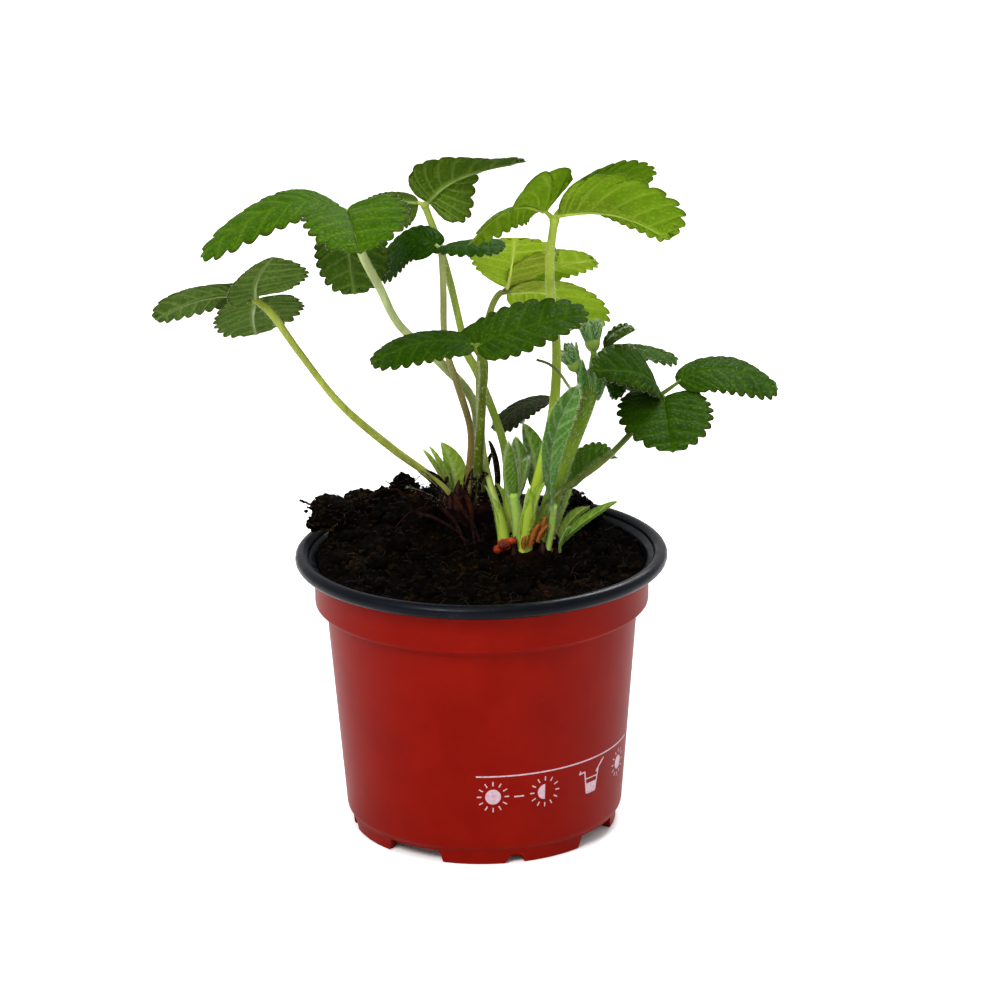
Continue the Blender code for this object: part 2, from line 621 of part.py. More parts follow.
def notch_cutter(azimuth, cutters):
    """A block with leaning ends that clears the ring between two feet."""
    width = 2 * FOOT_RADIUS * math.sin(math.radians(NOTCH_ARC / 2)) + 2 * NOTCH_SLOPE
    height = FOOT_HEIGHT - 1.4
    bpy.ops.mesh.primitive_cube_add(size=1.0)
    block = bpy.context.object
    block.name = "notch"
    for vert in block.data.vertices:
        lean = NOTCH_SLOPE if vert.co.z > 0 else 0.0
        vert.co.y = math.copysign((width / 2 - lean) * MM, vert.co.y)
        vert.co.x = (FOOT_RADIUS - 1.5 + math.copysign(5.0, vert.co.x)) * MM
        vert.co.z = height * MM if vert.co.z > 0 else -MM
    block.matrix_world = Matrix.Rotation(math.radians(azimuth), 4, "Z")
    return move_to(block, cutters)


def rod_cutter(radius, depth, location, rotation, cutters, sides=14):
    bpy.ops.mesh.primitive_cylinder_add(vertices=sides, radius=radius * MM, depth=depth * MM,
                                        location=vec(location), rotation=rotation)
    return move_to(bpy.context.object, cutters)


def move_to(obj, collection):
    for old in obj.users_collection:
        old.objects.unlink(obj)
    collection.objects.link(obj)
    obj.hide_render = True
    obj.display_type = "WIRE"
    return obj


def make_pot(parts, cutters):
    pot = turned("pot", pot_profile(), POT_STEPS, parts)
    apply_modifiers(pot)
    for i in range(FOOT_COUNT):
        azimuth = FOOT_AZIMUTH + 360.0 / FOOT_COUNT * i
        cut(pot, notch_cutter(azimuth + 180.0 / FOOT_COUNT, cutters))
        angle = math.radians(azimuth)
        middle = (FOOT_RADIUS - 1.5) * Vector((math.cos(angle), math.sin(angle), 0.0))
        cut(pot, rod_cutter(ARCH_RADIUS, 9.0, middle, (0.0, math.pi / 2, angle), cutters))
    for i in range(DRAIN_COUNT):
        angle = math.radians(FOOT_AZIMUTH + 360.0 / DRAIN_COUNT * i)
        place = (DRAIN_CIRCLE * math.cos(angle), DRAIN_CIRCLE * math.sin(angle), FLOOR_TOP)
        cut(pot, rod_cutter(DRAIN_RADIUS, 6.0, place, (0.0, 0.0, 0.0), cutters, sides=12))
    return finish(pot, material("pot plastic", POT_RED, 0.35), 30.0)


def peat_height(x, y):
    z = PEAT_BASE
    for cx, cy, height, spread_x, spread_y in PEAT_MOUNDS:
        z += height * math.exp(-((x - cx) / spread_x) ** 2 - ((y - cy) / spread_y) ** 2)
    bump = noise.noise(Vector((x * 0.11, y * 0.11, SEED)))
    crumb = noise.noise(Vector((x * 0.35, y * 0.35, SEED + 5)))
    return z + PEAT_ROUGH * (1.3 * bump + 0.8 * crumb)


def wall_radius(z):
    """Inner radius of the pot at height z."""
    if z >= COLLAR_FOOT_Z + 1.8:
        return COLLAR_RADIUS - WALL
    return BODY_FOOT_RADIUS - WALL + (BODY_TOP_RADIUS - BODY_FOOT_RADIUS) * (z - FLOOR_TOP - 1.4) / (
        COLLAR_FOOT_Z - 2.0 - FLOOR_TOP - 1.4)


def make_peat(parts, cutters):
    """Fill of peat: rough mounded top, a side that follows the pot, flat underside."""
    shape = bmesh.new()
    centre = shape.verts.new((0.0, 0.0, peat_height(0.0, 0.0) * MM))
    rings = []
    top_radius = wall_radius(PEAT_BASE) - PEAT_EDGE_GAP
    low = [(wall_radius(COLLAR_FOOT_Z + 1.8), COLLAR_FOOT_Z + 2.0),
           (wall_radius(COLLAR_FOOT_Z - 2.0), COLLAR_FOOT_Z - 2.4),
           (wall_radius(FLOOR_TOP + 1.4), FLOOR_TOP + 1.8),
           (BODY_FOOT_RADIUS - 2.6, FLOOR_TOP + GAP)]
    for k in range(1, PEAT_RINGS + 1):
        radius = top_radius * (k / PEAT_RINGS) ** 0.9
        ring = []
        for i in range(PEAT_STEPS):
            angle = 2 * math.pi * (i + 0.5 * (k % 2)) / PEAT_STEPS
            x, y = radius * math.cos(angle), radius * math.sin(angle)
            ring.append(shape.verts.new((x * MM, y * MM, peat_height(x, y) * MM)))
        rings.append(ring)
    for radius, z in low:
        ring = []
        for i in range(PEAT_STEPS):
            angle = 2 * math.pi * (i + 0.5 * (PEAT_RINGS % 2)) / PEAT_STEPS
            reach = (radius - PEAT_EDGE_GAP) * MM
            ring.append(shape.verts.new((reach * math.cos(angle), reach * math.sin(angle), z * MM)))
        rings.append(ring)
    for i in range(PEAT_STEPS):
        shape.faces.new((centre, rings[0][i], rings[0][(i + 1) % PEAT_STEPS]))
    for k in range(len(rings) - 1):
        inner, outer = rings[k], rings[k + 1]
        lead = 1 if k + 1 < PEAT_RINGS and (k + 1) % 2 == 0 else 0
        for i in range(PEAT_STEPS):
            j = (i + 1) % PEAT_STEPS
            if k + 1 >= PEAT_RINGS:
                shape.faces.new((inner[i], outer[i], outer[j]))
                shape.faces.new((inner[i], outer[j], inner[j]))
            elif lead:
                shape.faces.new((inner[i], outer[i], inner[j]))
                shape.faces.new((outer[i], outer[j], inner[j]))
            else:
                shape.faces.new((inner[i], outer[i], outer[j]))
                shape.faces.new((inner[i], outer[j], inner[j]))
    shape.faces.new(list(reversed(rings[-1])))
    bmesh.ops.recalc_face_normals(shape, faces=shape.faces)
    mesh = bpy.data.meshes.new("peat")
    shape.to_mesh(mesh)
    shape.free()
    pieces = [add_object("peat_fill", mesh, parts)]
    for i, (place, radii) in enumerate(PEAT_CLODS):
        clod = knuckle(f"peat_clod_{i}", (0, 0, 0), 1.0, parts)
        bm = bmesh.new()
        bmesh.ops.create_icosphere(bm, subdivisions=2, radius=1.0)
        for vert in bm.verts:
            lump = 1.0 + 0.16 * noise.noise(vert.co * 2.3 + Vector((i * 7.0, 0.0, 0.0)))
            vert.co = Vector((vert.co[k] * radii[k] * lump + place[k] for k in range(3))) * MM
        bm.to_mesh(clod.data)
        bm.free()
        pieces.append(clod)
    peat = fuse("peat", pieces, parts)
    for (x, y), radius, top, foot in (CROWN_RIGHT, CROWN_LEFT):
        depth = 60.0
        middle = (x, y, foot - GAP + depth / 2)
        cut(peat, rod_cutter(radius + GAP, depth, middle, (0.0, 0.0, 0.0), cutters, sides=CROWN_STEPS))
    return finish(peat, material("peat", PEAT_BLACK, 0.95), 30.0)


def make_crown(name, crown, stalks, parts, cutters):
    """A low dome of old growth, with a plain hole for the foot of each stalk."""
    (x, y), radius, top, foot = crown
    shoulder = top - 0.55 * radius
    profile = [(radius * math.sin(a), shoulder + (top - shoulder) * math.cos(a))
               for a in (math.radians(d) for d in (0, 20, 40, 60, 80, 90))]
    profile += [(radius, foot + 1.0), (radius - 1.0, foot), (0.0, foot)]
    body = turned(name, profile, CROWN_STEPS, parts)
    body.location = vec((x, y, 0.0))
    mesh = evaluated_mesh(body)
    mesh.transform(body.matrix_world)
    bpy.data.objects.remove(body)
    body = add_object(name, mesh, parts)
    for i, (path, radii) in enumerate(stalks):
        heading = (path[1] - path[0]).normalized()
        start = [path[0] - heading * GAP] + path[:5]
        wide = (radii[0] + GAP, radii[0] + GAP)
        cut(body, move_to(tube(f"{name}_hole_{i}", start, wide, parts, resolution=2), cutters))
    return finish(body, material(name.replace("_", " "), CROWN_BROWN, 0.8), 35.0)


def make_bud(name, foot, tip, radius, parts):
    """A round bud in a ring of pointed sepals, on a short stalk."""
    foot, tip = Vector(foot), Vector(tip)
    axis = (tip - foot).normalized()
    turn = axis.to_track_quat("Z", "Y").to_matrix().to_4x4()
    centre = foot.lerp(tip, 0.55)
    core = knuckle(name + "_core", (0, 0, 0), radius, parts)
    core.data.transform(Matrix.Translation(centre * MM) @ turn @ Matrix.Diagonal((0.8, 0.8, 1.25, 1.0)))
    pieces = [core, tube(name + "_stem", [foot, foot.lerp(centre, 0.5), centre], (1.1, 1.1), parts)]
    for i in range(7):
        angle = 2 * math.pi * i / 7
        lean = 18.0 if i % 2 else 30.0
        bpy.ops.mesh.primitive_cone_add(vertices=4, radius1=radius * 0.34 * MM, radius2=0.12 * MM,
                                        depth=radius * 1.9 * MM)
        sepal = bpy.context.object
        place = (Matrix.Translation(centre * MM) @ turn @ Matrix.Rotation(angle, 4, "Z")
                 @ Matrix.Translation(Vector((radius * 0.62, 0, 0)) * MM)
                 @ Matrix.Rotation(math.radians(lean), 4, "Y")
                 @ Matrix.Translation(Vector((0, 0, radius * 0.8)) * MM))
        sepal.data.transform(place)
        pieces.append(move_to(sepal, parts))
    bud = fuse(name, pieces, parts)
    return finish(bud, material(name.replace("_", " "), BUD_GREEN, 0.6))


def main():
    for obj in list(bpy.data.objects):
        bpy.data.objects.remove(obj)
    noise.seed_set(SEED)
    parts = bpy.data.collections.new("potted_strawberry_plant")
    cutters = bpy.data.collections.new("cutters")
    for group in (parts, cutters):
        bpy.context.scene.collection.children.link(group)

    make_pot(parts, cutters)
    make_peat(parts, cutters)

    stalk_mat = material("leaf stalk", STALK_GREEN, 0.5)
    feet = {"crown_left": [], "crown_right": []}
    left = ("leaf_left", "leaf_upper_left", "leaf_dark", "leaf_front")
    for name, leaf in LEAVES.items():
        path, neck = shorten(smooth_path(leaf["stalk"]), NECK)
        stem, _ = shorten(path, GAP)
        finish(tube(name + "_stalk", stem, leaf["radii"], parts), stalk_mat.copy())
        blades = leaf_blades(name + "_blades", leaf, parts, neck, leaf["radii"][1])
        finish(blades, material(name.replace("_", " ") + " blades", leaf["colour"], 0.55), 60.0)
        feet["crown_left" if name in left else "crown_right"].append((path, leaf["radii"]))

    shoot_path = smooth_path(SHOOT["stalk"])
    finish(tube("shoot_stalk", shoot_path, SHOOT["radii"], parts, resolution=2), stalk_mat.copy())
    feet["crown_right"].append((shoot_path, SHOOT["radii"]))
    for name, leaf in (("shoot_leaf_folded", SHOOT_LEAF_FOLDED), ("shoot_leaf_dark", SHOOT_LEAF_DARK)):
        blades = leaf_blades(name, leaf, parts, [Vector(p) for p in leaf["stalk"]], 0.8)
        finish(blades, material(name.replace("_", " "), LEAF_GREEN, 0.55), 60.0)
    for name, (foot, tip, radius) in BUDS.items():
        make_bud(name, foot, tip, radius, parts)

    for name, leaf in YOUNG_LEAVES.items():
        path = smooth_path(leaf["stalk"])
        blades = leaf_blades(name, leaf, parts, path, leaf["radii"][0])
        finish(blades, material(name.replace("_", " "), YOUNG_GREEN, 0.6), 60.0)
        feet["crown_right"].append((path, leaf["radii"]))

    for name, bract in BRACTS.items():
        pieces = [blade(f"{name}_{i}", spec, parts, YOUNG_TEETH, toothed=False)
                  for i, spec in enumerate(bract["blades"])]
        finish(fuse(name, pieces, parts), material(name.replace("_", " "), bract["colour"], 0.65), 60.0)

    runner = tube("young_runner", smooth_path(YOUNG_RUNNER["stalk"]), YOUNG_RUNNER["radii"], parts)
    finish(runner, stalk_mat.copy())

    make_crown("crown_left", CROWN_LEFT, feet["crown_left"], parts, cutters)
    make_crown("crown_right", CROWN_RIGHT, feet["crown_right"], parts, cutters)
    for mesh in [m for m in bpy.data.meshes if not m.users]:
        bpy.data.meshes.remove(mesh)


main()
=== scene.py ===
"""The looks of a young strawberry plant in a round nursery pot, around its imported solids.

The tables repeat the routes of the stalks and leaflets, and the fine pieces follow the same formulas
as the solids that they stand for.  Lengths in this file are millimetres; MM turns them into metres.
"""
import math

import bmesh
import bpy
import numpy as np
from mathutils import Matrix, Vector, noise


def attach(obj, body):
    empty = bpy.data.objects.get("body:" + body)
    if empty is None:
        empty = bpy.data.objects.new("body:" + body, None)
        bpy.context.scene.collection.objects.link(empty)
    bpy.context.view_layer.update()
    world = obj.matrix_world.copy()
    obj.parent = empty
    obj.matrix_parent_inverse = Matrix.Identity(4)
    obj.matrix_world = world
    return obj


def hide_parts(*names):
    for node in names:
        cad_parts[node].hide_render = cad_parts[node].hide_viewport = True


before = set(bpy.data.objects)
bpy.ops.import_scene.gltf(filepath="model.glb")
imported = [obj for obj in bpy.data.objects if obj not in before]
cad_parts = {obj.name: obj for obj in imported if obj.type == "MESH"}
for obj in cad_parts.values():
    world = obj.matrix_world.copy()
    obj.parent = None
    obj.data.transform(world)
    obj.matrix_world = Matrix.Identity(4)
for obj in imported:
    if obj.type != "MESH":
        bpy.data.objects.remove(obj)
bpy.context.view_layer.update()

MM = 0.001
SEED = 12
TURN = 2 * math.pi
UP = np.array([0.0, 0.0, 1.0])
noise.seed_set(SEED)

# ---------------------------------------------------------------- pot, the same sizes as the solid
POT_HEIGHT = 92.5
LIP_RADIUS = 60.0
LIP_ROLL = 2.3
COLLAR_RADIUS = 53.9
COLLAR_FOOT_Z = 75.0
BODY_TOP_RADIUS = 50.2
BODY_FOOT_RADIUS = 44.85
FOOT_RADIUS = 43.3
FOOT_WIDTH = 3.4
FOOT_HEIGHT = 5.6
WALL = 0.9
FLOOR_TOP = 6.6
POT_STEPS = 144
FOOT_COUNT = 4
FOOT_AZIMUTH = -77.0
FOOT_MIDDLE = 1.5             # from the foot ring's outside to the middle of what is cut from it
NOTCH_ARC = 24.0
NOTCH_SLOPE = 1.6
ARCH_RADIUS = 3.0
DRAIN_COUNT = 6
DRAIN_RADIUS = 3.5
DRAIN_CIRCLE = 28.0

# ---------------------------------------------------------------- peat
PEAT_BASE = 88.0
PEAT_RINGS = 84
PEAT_STEPS = 230
# middle x and y, height, spread in x and y of each mound
PEAT_MOUNDS = (
    (-16.0, 26.0, 15.5, 34.0, 22.0),
    (13.0, 1.0, 4.5, 15.0, 14.0),
    (30.0, 38.0, 6.0, 16.0, 16.0),
    (-46.0, -6.0, 3.0, 14.0, 26.0),
)
# middle and radii of each clod
PEAT_CLODS = [(np.array(centre), np.array(radii)) for centre, radii in (
    ((-48.5, 18.0, 98.3), (8.5, 9.0, 5.0)),
    ((-25.0, 31.0, 101.0), (5.0, 5.0, 6.0)),
    ((-39.0, 28.0, 98.5), (6.0, 7.0, 4.5)),
    ((30.0, 40.0, 94.0), (6.0, 5.0, 4.5)),
)]
# middle, radius, top and foot of the crowns
CROWN_RIGHT = ((14.0, 1.0), 12.0, 97.0, 78.0)
CROWN_LEFT = ((-4.5, 20.0), 9.5, 105.0, 84.0)
CROWN_STEPS = 72
CROWN_ROWS = 26

# ---------------------------------------------------------------- leaves
TEETH = 8.5                   # teeth on one side of a leaflet
YOUNG_TEETH = 5.5
FINE_TEETH = 9.5
SHEATH_TEETH = 4.5
BARE = 0.3                    # share of a leaflet's edge, from the foot, that has no teeth
TOOTH_HEIGHT = 0.48           # a tooth's height for its width
TOOTH_PEAK = 0.53             # where in a tooth its point lies, and its side vein ends
VEIN_LEAN = 2.1               # how far towards the foot a side vein starts
VEIN_WIDTH = 0.16             # a side vein's half width for half a tooth's
RIB_WIDTH = 0.55
RELIEF_HALF = 13.0            # half width of a leaflet whose relief is as given
MIDRIB_GROOVE = 0.45
QUILT_HEIGHT = 1.3            # how far a blade swells between two side veins, for a quilt of 1
QUILT_WIDTH = 0.42
CRUMPLE_HEIGHT = 0.62
CRUMPLE_SCALE = 0.5
WAVE_SCALE = 0.09
PLAIN_WAVE = 0.4              # share of the wave on a blade without teeth
RIM_START = 0.8               # where along a row the blade turns down to its teeth
RIM_DROP = 0.6
VEIN_BOW = 0.10
BLADE = 0.34                  # thickness of a leaf blade
THIN_BLADE = 0.3
EDGE_SAMPLES = 400
EDGE_STEP = 0.012
TOOTH_STEPS = (0.0, 0.05, 0.14, 0.27, 0.41, 0.53, 0.66, 0.79, 0.89, 0.96)
ROWS = (0.0, 0.02, 0.05, 0.1, 0.16, 0.24, 0.33, 0.42, 0.51, 0.6, 0.69, 0.77, 0.84, 0.9, 0.95, 1.0)
PLAIN_STEPS = (0.0, 0.3, 0.53, 0.76)      # the same two for a small blade without teeth
PLAIN_ROWS = (0.0, 0.08, 0.25, 0.5, 0.76, 1.0)


def pair(value):
    return value if isinstance(value, tuple) else (value, value)


def leaflet(base, middle, tip, face, half, fold=0.0, arch=0.0, lobe=0.03, widest=0.54, face_tip=None,
            fold_tip=None, settle=1.0, wedge=1.15, blunt=0.68):
    """One leaflet, given as in the solids' source.  A pair gives the right half first.

    `wedge` and `blunt` shape the edge towards the foot and the tip (higher is leaner).
    """
    face_tip, fold_tip = face_tip or face, fold if fold_tip is None else fold_tip
    points = {"base": base, "middle": middle, "tip": tip, "face": face, "face_tip": face_tip}
    halves = {"half": half, "fold": fold, "fold_tip": fold_tip, "arch": arch, "lobe": lobe,
              "widest": widest, "wedge": wedge, "blunt": blunt}
    spec = {key: np.array(value, float) for key, value in points.items()}
    spec.update((key, pair(value)) for key, value in halves.items())
    spec["settle"] = settle
    spec["length"] = np.linalg.norm(spec["tip"] - spec["base"])
    return spec


def pointed(base, middle, tip, face, half, fold, widest, blunt=1.5, wedge=0.8):
    """A small blade that runs out to a point, with no lobes at its foot."""
    return leaflet(base, middle, tip, tuple(face), half, fold, lobe=0.0, widest=widest, wedge=wedge,
                   blunt=blunt)


# Each leaf: its stalk from foot to hub, the stalk's radius at foot and top, and its leaflets.
LEAVES = {
    "leaf_left": ([(-9, 18, 103), (-12.5, 15, 108.5), (-18, 10, 115), (-28.5, -2, 127), (-43.5, -18, 146),
                   (-55.5, -30, 166.5), (-63, -36, 180), (-68, -38, 185.5)], (1.5, 1.1), [
        leaflet((-69, -38, 186.5), (-83.5, -38.5, 186.8), (-98.8, -40, 180), (-0.1, 0.56, 0.83), 12.5,
                fold=4, arch=-14, lobe=0.06, widest=(0.46, 0.54)),
        leaflet((-68.3, -36.5, 184.8), (-69.8, -26, 177), (-69.5, -12, 167.5), (0, 0.6, 0.8),
                (16.5, 12.5), fold=(16, -8), arch=-6, lobe=0.14, widest=0.5),
        leaflet((-68, -39.5, 186.8), (-67, -49, 195), (-61.5, -56, 203.4), (0.05, 0.6, 0.8), (10.5, 16.5),
                fold=(-34, 10), lobe=0.1, widest=0.58),
    ]),
    "leaf_upper_left": ([(-0.5, 25.5, 99), (0.5, 24, 110), (-0.5, 21.5, 122), (-2.5, 18.5, 137),
                         (-12.5, 12, 151), (-25, 4, 165.5), (-31, 0, 179), (-36, -4, 190.5),
                         (-41, -8, 205)], (1.7, 1.35), [
        leaflet((-42.5, -8.5, 206.2), (-61, -13, 209), (-86, -16, 193.6), (0, -0.12, 0.99), (15, 13.5),
                arch=(-12, -20), widest=(0.36, 0.6), blunt=(0.8, 0.68), lobe=(0.12, 0.02),
                wedge=(0.9, 1.5)),
        leaflet((-40.5, -9.5, 206.8), (-38.5, -28, 207), (-35.5, -43.5, 201), (-0.1, -0.08, 1),
                (15.5, 18.5), fold=(18, 16), arch=(-22, -18), lobe=(0.22, 0.26), widest=0.48),
        leaflet((-41, -6.5, 204), (-40.5, 3, 190.5), (-39, 6, 175.4), (0, 0.85, 0.5), (13, 11.2),
                arch=-8),
    ]),
    "leaf_top": ([(9, 5.5, 92), (9, 7.5, 108), (7.5, 10, 124.5), (0, 15.5, 145), (-4, 16.5, 153),
                  (-5.5, 17, 160), (-9, 17, 176.5), (-13, 15, 191.5), (-16.5, 14, 202)], (1.6, 1.15), [
        leaflet((-15.2, 13.8, 203), (-4.5, 10, 212.5), (15.5, 8, 217.2), (-0.1, 0.9, 0.3), (15, 13.5),
                fold=(0, -52), arch=(-4, -24), lobe=(0.0, 0.04), widest=(0.42, 0.24),
                face_tip=(0, 0.3, 1), fold_tip=(8, 20), blunt=(0.62, 6.0), settle=0.8),
        leaflet((-18.6, 14.5, 203), (-27, 17, 203), (-36, 20, 200), (0, 0.86, 0.5), (12.5, 4.5), arch=-8),
    ]),
    "leaf_dark": ([(-4, 20.5, 99), (-3.5, 19, 112), (-3, 16, 127), (-7, 12, 143.5), (-9.5, 10, 152),
                   (-11, 8, 161.5), (-11, 6, 176.5), (-11.5, 4, 190)], (1.4, 1.0), [
        leaflet((-12.5, 5, 190.8), (-22, 9, 192), (-32, 16, 179), (-0.1, -0.5, 0.9), (6.5, 11.5),
                arch=(-10, -14), lobe=0.1, widest=(0.44, 0.54)),
        leaflet((-10.5, 4, 191.2), (-1, -2, 193.2), (8.5, -5, 192.5), (0, -0.02, 1), (10, 11),
                arch=(-20, -8), lobe=0.12, widest=0.48),
    ]),
    "leaf_front": ([(-2, 15, 100), (-1.7, 11, 109.5), (-0.7, 2.5, 118.5), (0, -5, 131), (1, -13, 147),
                    (1.5, -21.5, 159.5), (-0.5, -26, 166)], (1.7, 1.35), [
        leaflet((-1.5, -25.5, 166.8), (-16.5, -26, 168.2), (-33.5, -28, 161.8), (0, -0.12, 0.99),
                (12, 13), arch=-14, widest=(0.54, 0.48), lobe=0.08),
        leaflet((-0.5, -26, 166.8), (14, -25, 172), (34.5, -20, 175), (-0.1, -0.36, 0.93), (13, 14),
                fold=3, arch=-6, lobe=(0.03, 0.26), widest=(0.32, 0.46), blunt=(1.1, 0.68)),
    ]),
    "leaf_pale": ([(7.5, -3, 91), (7, -2, 98), (5.5, 1, 105), (3, 5, 113), (1, 7, 122), (0, 7.5, 137),
                   (0, 10.5, 147), (1, 17, 155), (4, 25, 164.5), (6.5, 29, 168.5),
                   (9, 30, 169.5)], (1.3, 1.0), [
        leaflet((9.3, 29.5, 170.6), (11, 19, 182), (12, 9, 192.4), (0, 0.7, 0.71), (14, 14.5), arch=-4,
                lobe=0.0, widest=0.68, wedge=(1.7, 1.9)),
        leaflet((11, 30, 170.8), (24, 27, 178.5), (38, 22, 181.5), (-0.2, 0.62, 0.75), (15.5, 11),
                arch=-8),
        leaflet((10, 31, 169), (26, 38, 166), (38, 45, 152.5), (0.1, 0.62, 0.78), (13, 15),
                arch=(-10, -26), lobe=0.06),
    ]),
    "leaf_upper_right": ([(13.5, -6.5, 91), (14.5, -6.5, 100), (15.5, -7.5, 107), (21.5, -7, 130),
                          (24, -6, 145), (24.5, -5, 162), (23, -7, 175.5), (22.5, -11, 190),
                          (24, -14, 203.5)], (2.0, 1.35), [
        leaflet((21.5, -13.5, 206), (10.5, -12, 207), (-2.5, -8, 195), (0, 0.71, 0.71), (8.5, 18),
                fold=(30, 42), lobe=(0.0, 0.08), widest=(0.4, 0.24), face_tip=(-0.2, 0.6, 0.8),
                fold_tip=(-24, -26), settle=0.36, blunt=(0.68, 3.0), wedge=(1.15, 0.6)),
        leaflet((25.5, -14, 205), (43, -13, 205), (60, -9, 195.5), (0, 0.755, 0.656), (20.5, 5),
                fold=(12, 50), lobe=(0.0, 0.0), widest=(0.52, 0.6), fold_tip=(-6, 0), settle=0.7,
                wedge=(1.4, 1.15), blunt=(0.78, 0.68)),
        leaflet((25.5, -11.5, 206.5), (41, -2, 212.5), (53, 5, 209.5), (-0.1, 0.75, 0.65), (12, 12),
                arch=-6),
    ]),
    "leaf_right": ([(18.8, -3, 91), (19, -1.5, 99), (20.5, 0, 105), (25.5, 2.5, 110), (38.5, 11, 116.5),
                    (48, 24, 121.5), (55.5, 36, 127), (59.5, 41.5, 130.5)], (1.3, 1.0), [
        leaflet((58.5, 39.5, 133.5), (51.5, 27, 142.5), (36, 16, 146.6), (0.35, -0.6, 0.7), (12, 7),
                arch=-12, widest=(0.27, 0.34), lobe=(0.16, 0.08), blunt=(0.95, 0.8), wedge=(0.8, 1.15)),
        leaflet((65.5, 44, 134), (81, 47, 138), (99, 50, 129.5), (0, -0.3, 0.95), (13.5, 9), arch=-14,
                lobe=0.06),
        leaflet((60.8, 39.5, 130.5), (61.3, 27, 127), (62.3, 12.5, 119.6), (0, -0.25, 0.97), (16.8, 15.3),
                fold=10, arch=-10, lobe=0.16, widest=0.46, blunt=0.82),
    ]),
    "leaf_low": ([(14, 7.5, 92), (16, 12, 104), (20.5, 20, 114), (24.5, 28, 124.5),
                  (25, 34, 131)], (1.1, 0.9), [
        leaflet((23.5, 34.5, 132), (13.5, 33, 130), (4.5, 30, 122.5), (0, -0.05, 1), (6, 10.5), arch=-10),
    ]),
}

# The thick stalk of the flowering shoot, and its radius at foot and top.
SHOOT = ([(19.5, 5, 91), (20.5, 5.5, 97), (24.5, 8, 110.5), (28.5, 13, 120.5), (33, 19, 130.5),
          (36, 24, 138), (36.3, 27, 144)], (2.4, 2.1))
# buds: foot, tip, radius
BUDS = {
    "bud_upper": ((37.4, 29.8, 147.6), (36.6, 31.6, 156.2), 3.6),
    "bud_lower": ((32.8, 25.2, 142.5), (28.5, 24.5, 151), 3.4),
}
# Base, middle, tip, facing and half width of the small blades at the shoot's top.
SHOOT_STIPULES = (
    ((34.5, 22, 133), (32.5, 22.5, 141), (33.5, 24, 148), (0.6, 0.7, 0.2), 3.0),
    ((38.5, 24, 134), (40.5, 26.5, 141), (38.5, 29, 148), (-0.5, 0.7, 0.2), 3.0),
    ((36, 21, 134), (37.5, 22, 141), (36.5, 25, 147), (0.0, 0.9, 0.2), 2.6),
)

# Young leaves that are still folded, told like the leaves.  The first two stand on the shoot.
YOUNG_LEAVES = {
    "shoot_leaf_folded": ([(37.8, 28.6, 141.5), (39.5, 33, 145), (41, 36, 148)], (0.8, 0.8), [
        leaflet((41.3, 36, 148), (46.2, 36.4, 151.5), (51, 37, 154), (-0.5, 0, 0.8), 5.4, fold=40),
        leaflet((41.5, 38, 147.5), (54.5, 48, 144.6), (66, 52, 139.8), (0.1, -0.25, 1), (9, 3.5),
                arch=-6),
    ]),
    "shoot_leaf_dark": ([(38.4, 26.6, 139), (39.5, 29, 140), (40.5, 31.5, 140.5)], (0.8, 0.8), [
        leaflet((38.5, 31, 142), (43, 35.5, 138.5), (48, 38, 133), (0.2, -0.6, 0.75), 7.5, arch=-8),
        leaflet((41, 32, 140), (49, 42, 135), (55, 46, 127.5), (0.2, -0.5, 0.8), 5, arch=-8),
    ]),
    "young_leaf_middle": ([(12, -0.5, 92), (11.5, -1.5, 103), (10.5, -2, 111)], (1.8, 1.5), [
        leaflet((9.8, -2.2, 108), (7.4, -3, 118), (9.2, -3.5, 128.5), (0.7, 0.6, 0.2), 4.4, fold=48,
                blunt=1.5, widest=0.45),
        leaflet((11, -2, 108.5), (12.7, -2, 119), (11.2, -3, 130), (-0.2, 0.95, 0.1), 4.2, fold=40,
                blunt=1.5, widest=0.45),
        leaflet((11.6, -1.8, 109), (14, -1.5, 116), (15.5, -2, 122.5), (-0.5, 0.8, 0.2), 3.2, fold=40,
                blunt=1.5, widest=0.45),
    ]),
    "young_leaf_back": ([(16, 1.5, 92), (17, 2.5, 104), (17.5, 3, 112)], (1.1, 0.9), [
        leaflet((17.5, 3, 110), (17, 3.5, 121), (14, 4, 132.5), (0.3, 0.9, 0.2), 4.8, fold=34, blunt=1.4,
                widest=0.42),
    ]),
    "young_leaf_right": ([(23, 6.3, 91), (25.5, 9.5, 99), (29, 15, 107)], (0.8, 0.8), [
        leaflet((29, 15, 107), (36, 21, 113.5), (43.5, 25, 114), (0.1, -0.3, 0.95), 6.5, fold=38),
    ]),
    "hairy_sheath": ([(21, -5, 91), (22.5, -6, 100), (23.5, -8, 109)], (1.1, 0.9), [
        leaflet((23.4, -8, 106), (22.6, -12.5, 129), (30.8, -15, 150), (0.1, -0.95, 0.3), 5.2, fold=42,
                blunt=1.0, widest=0.74, wedge=3.4),
    ]),
}

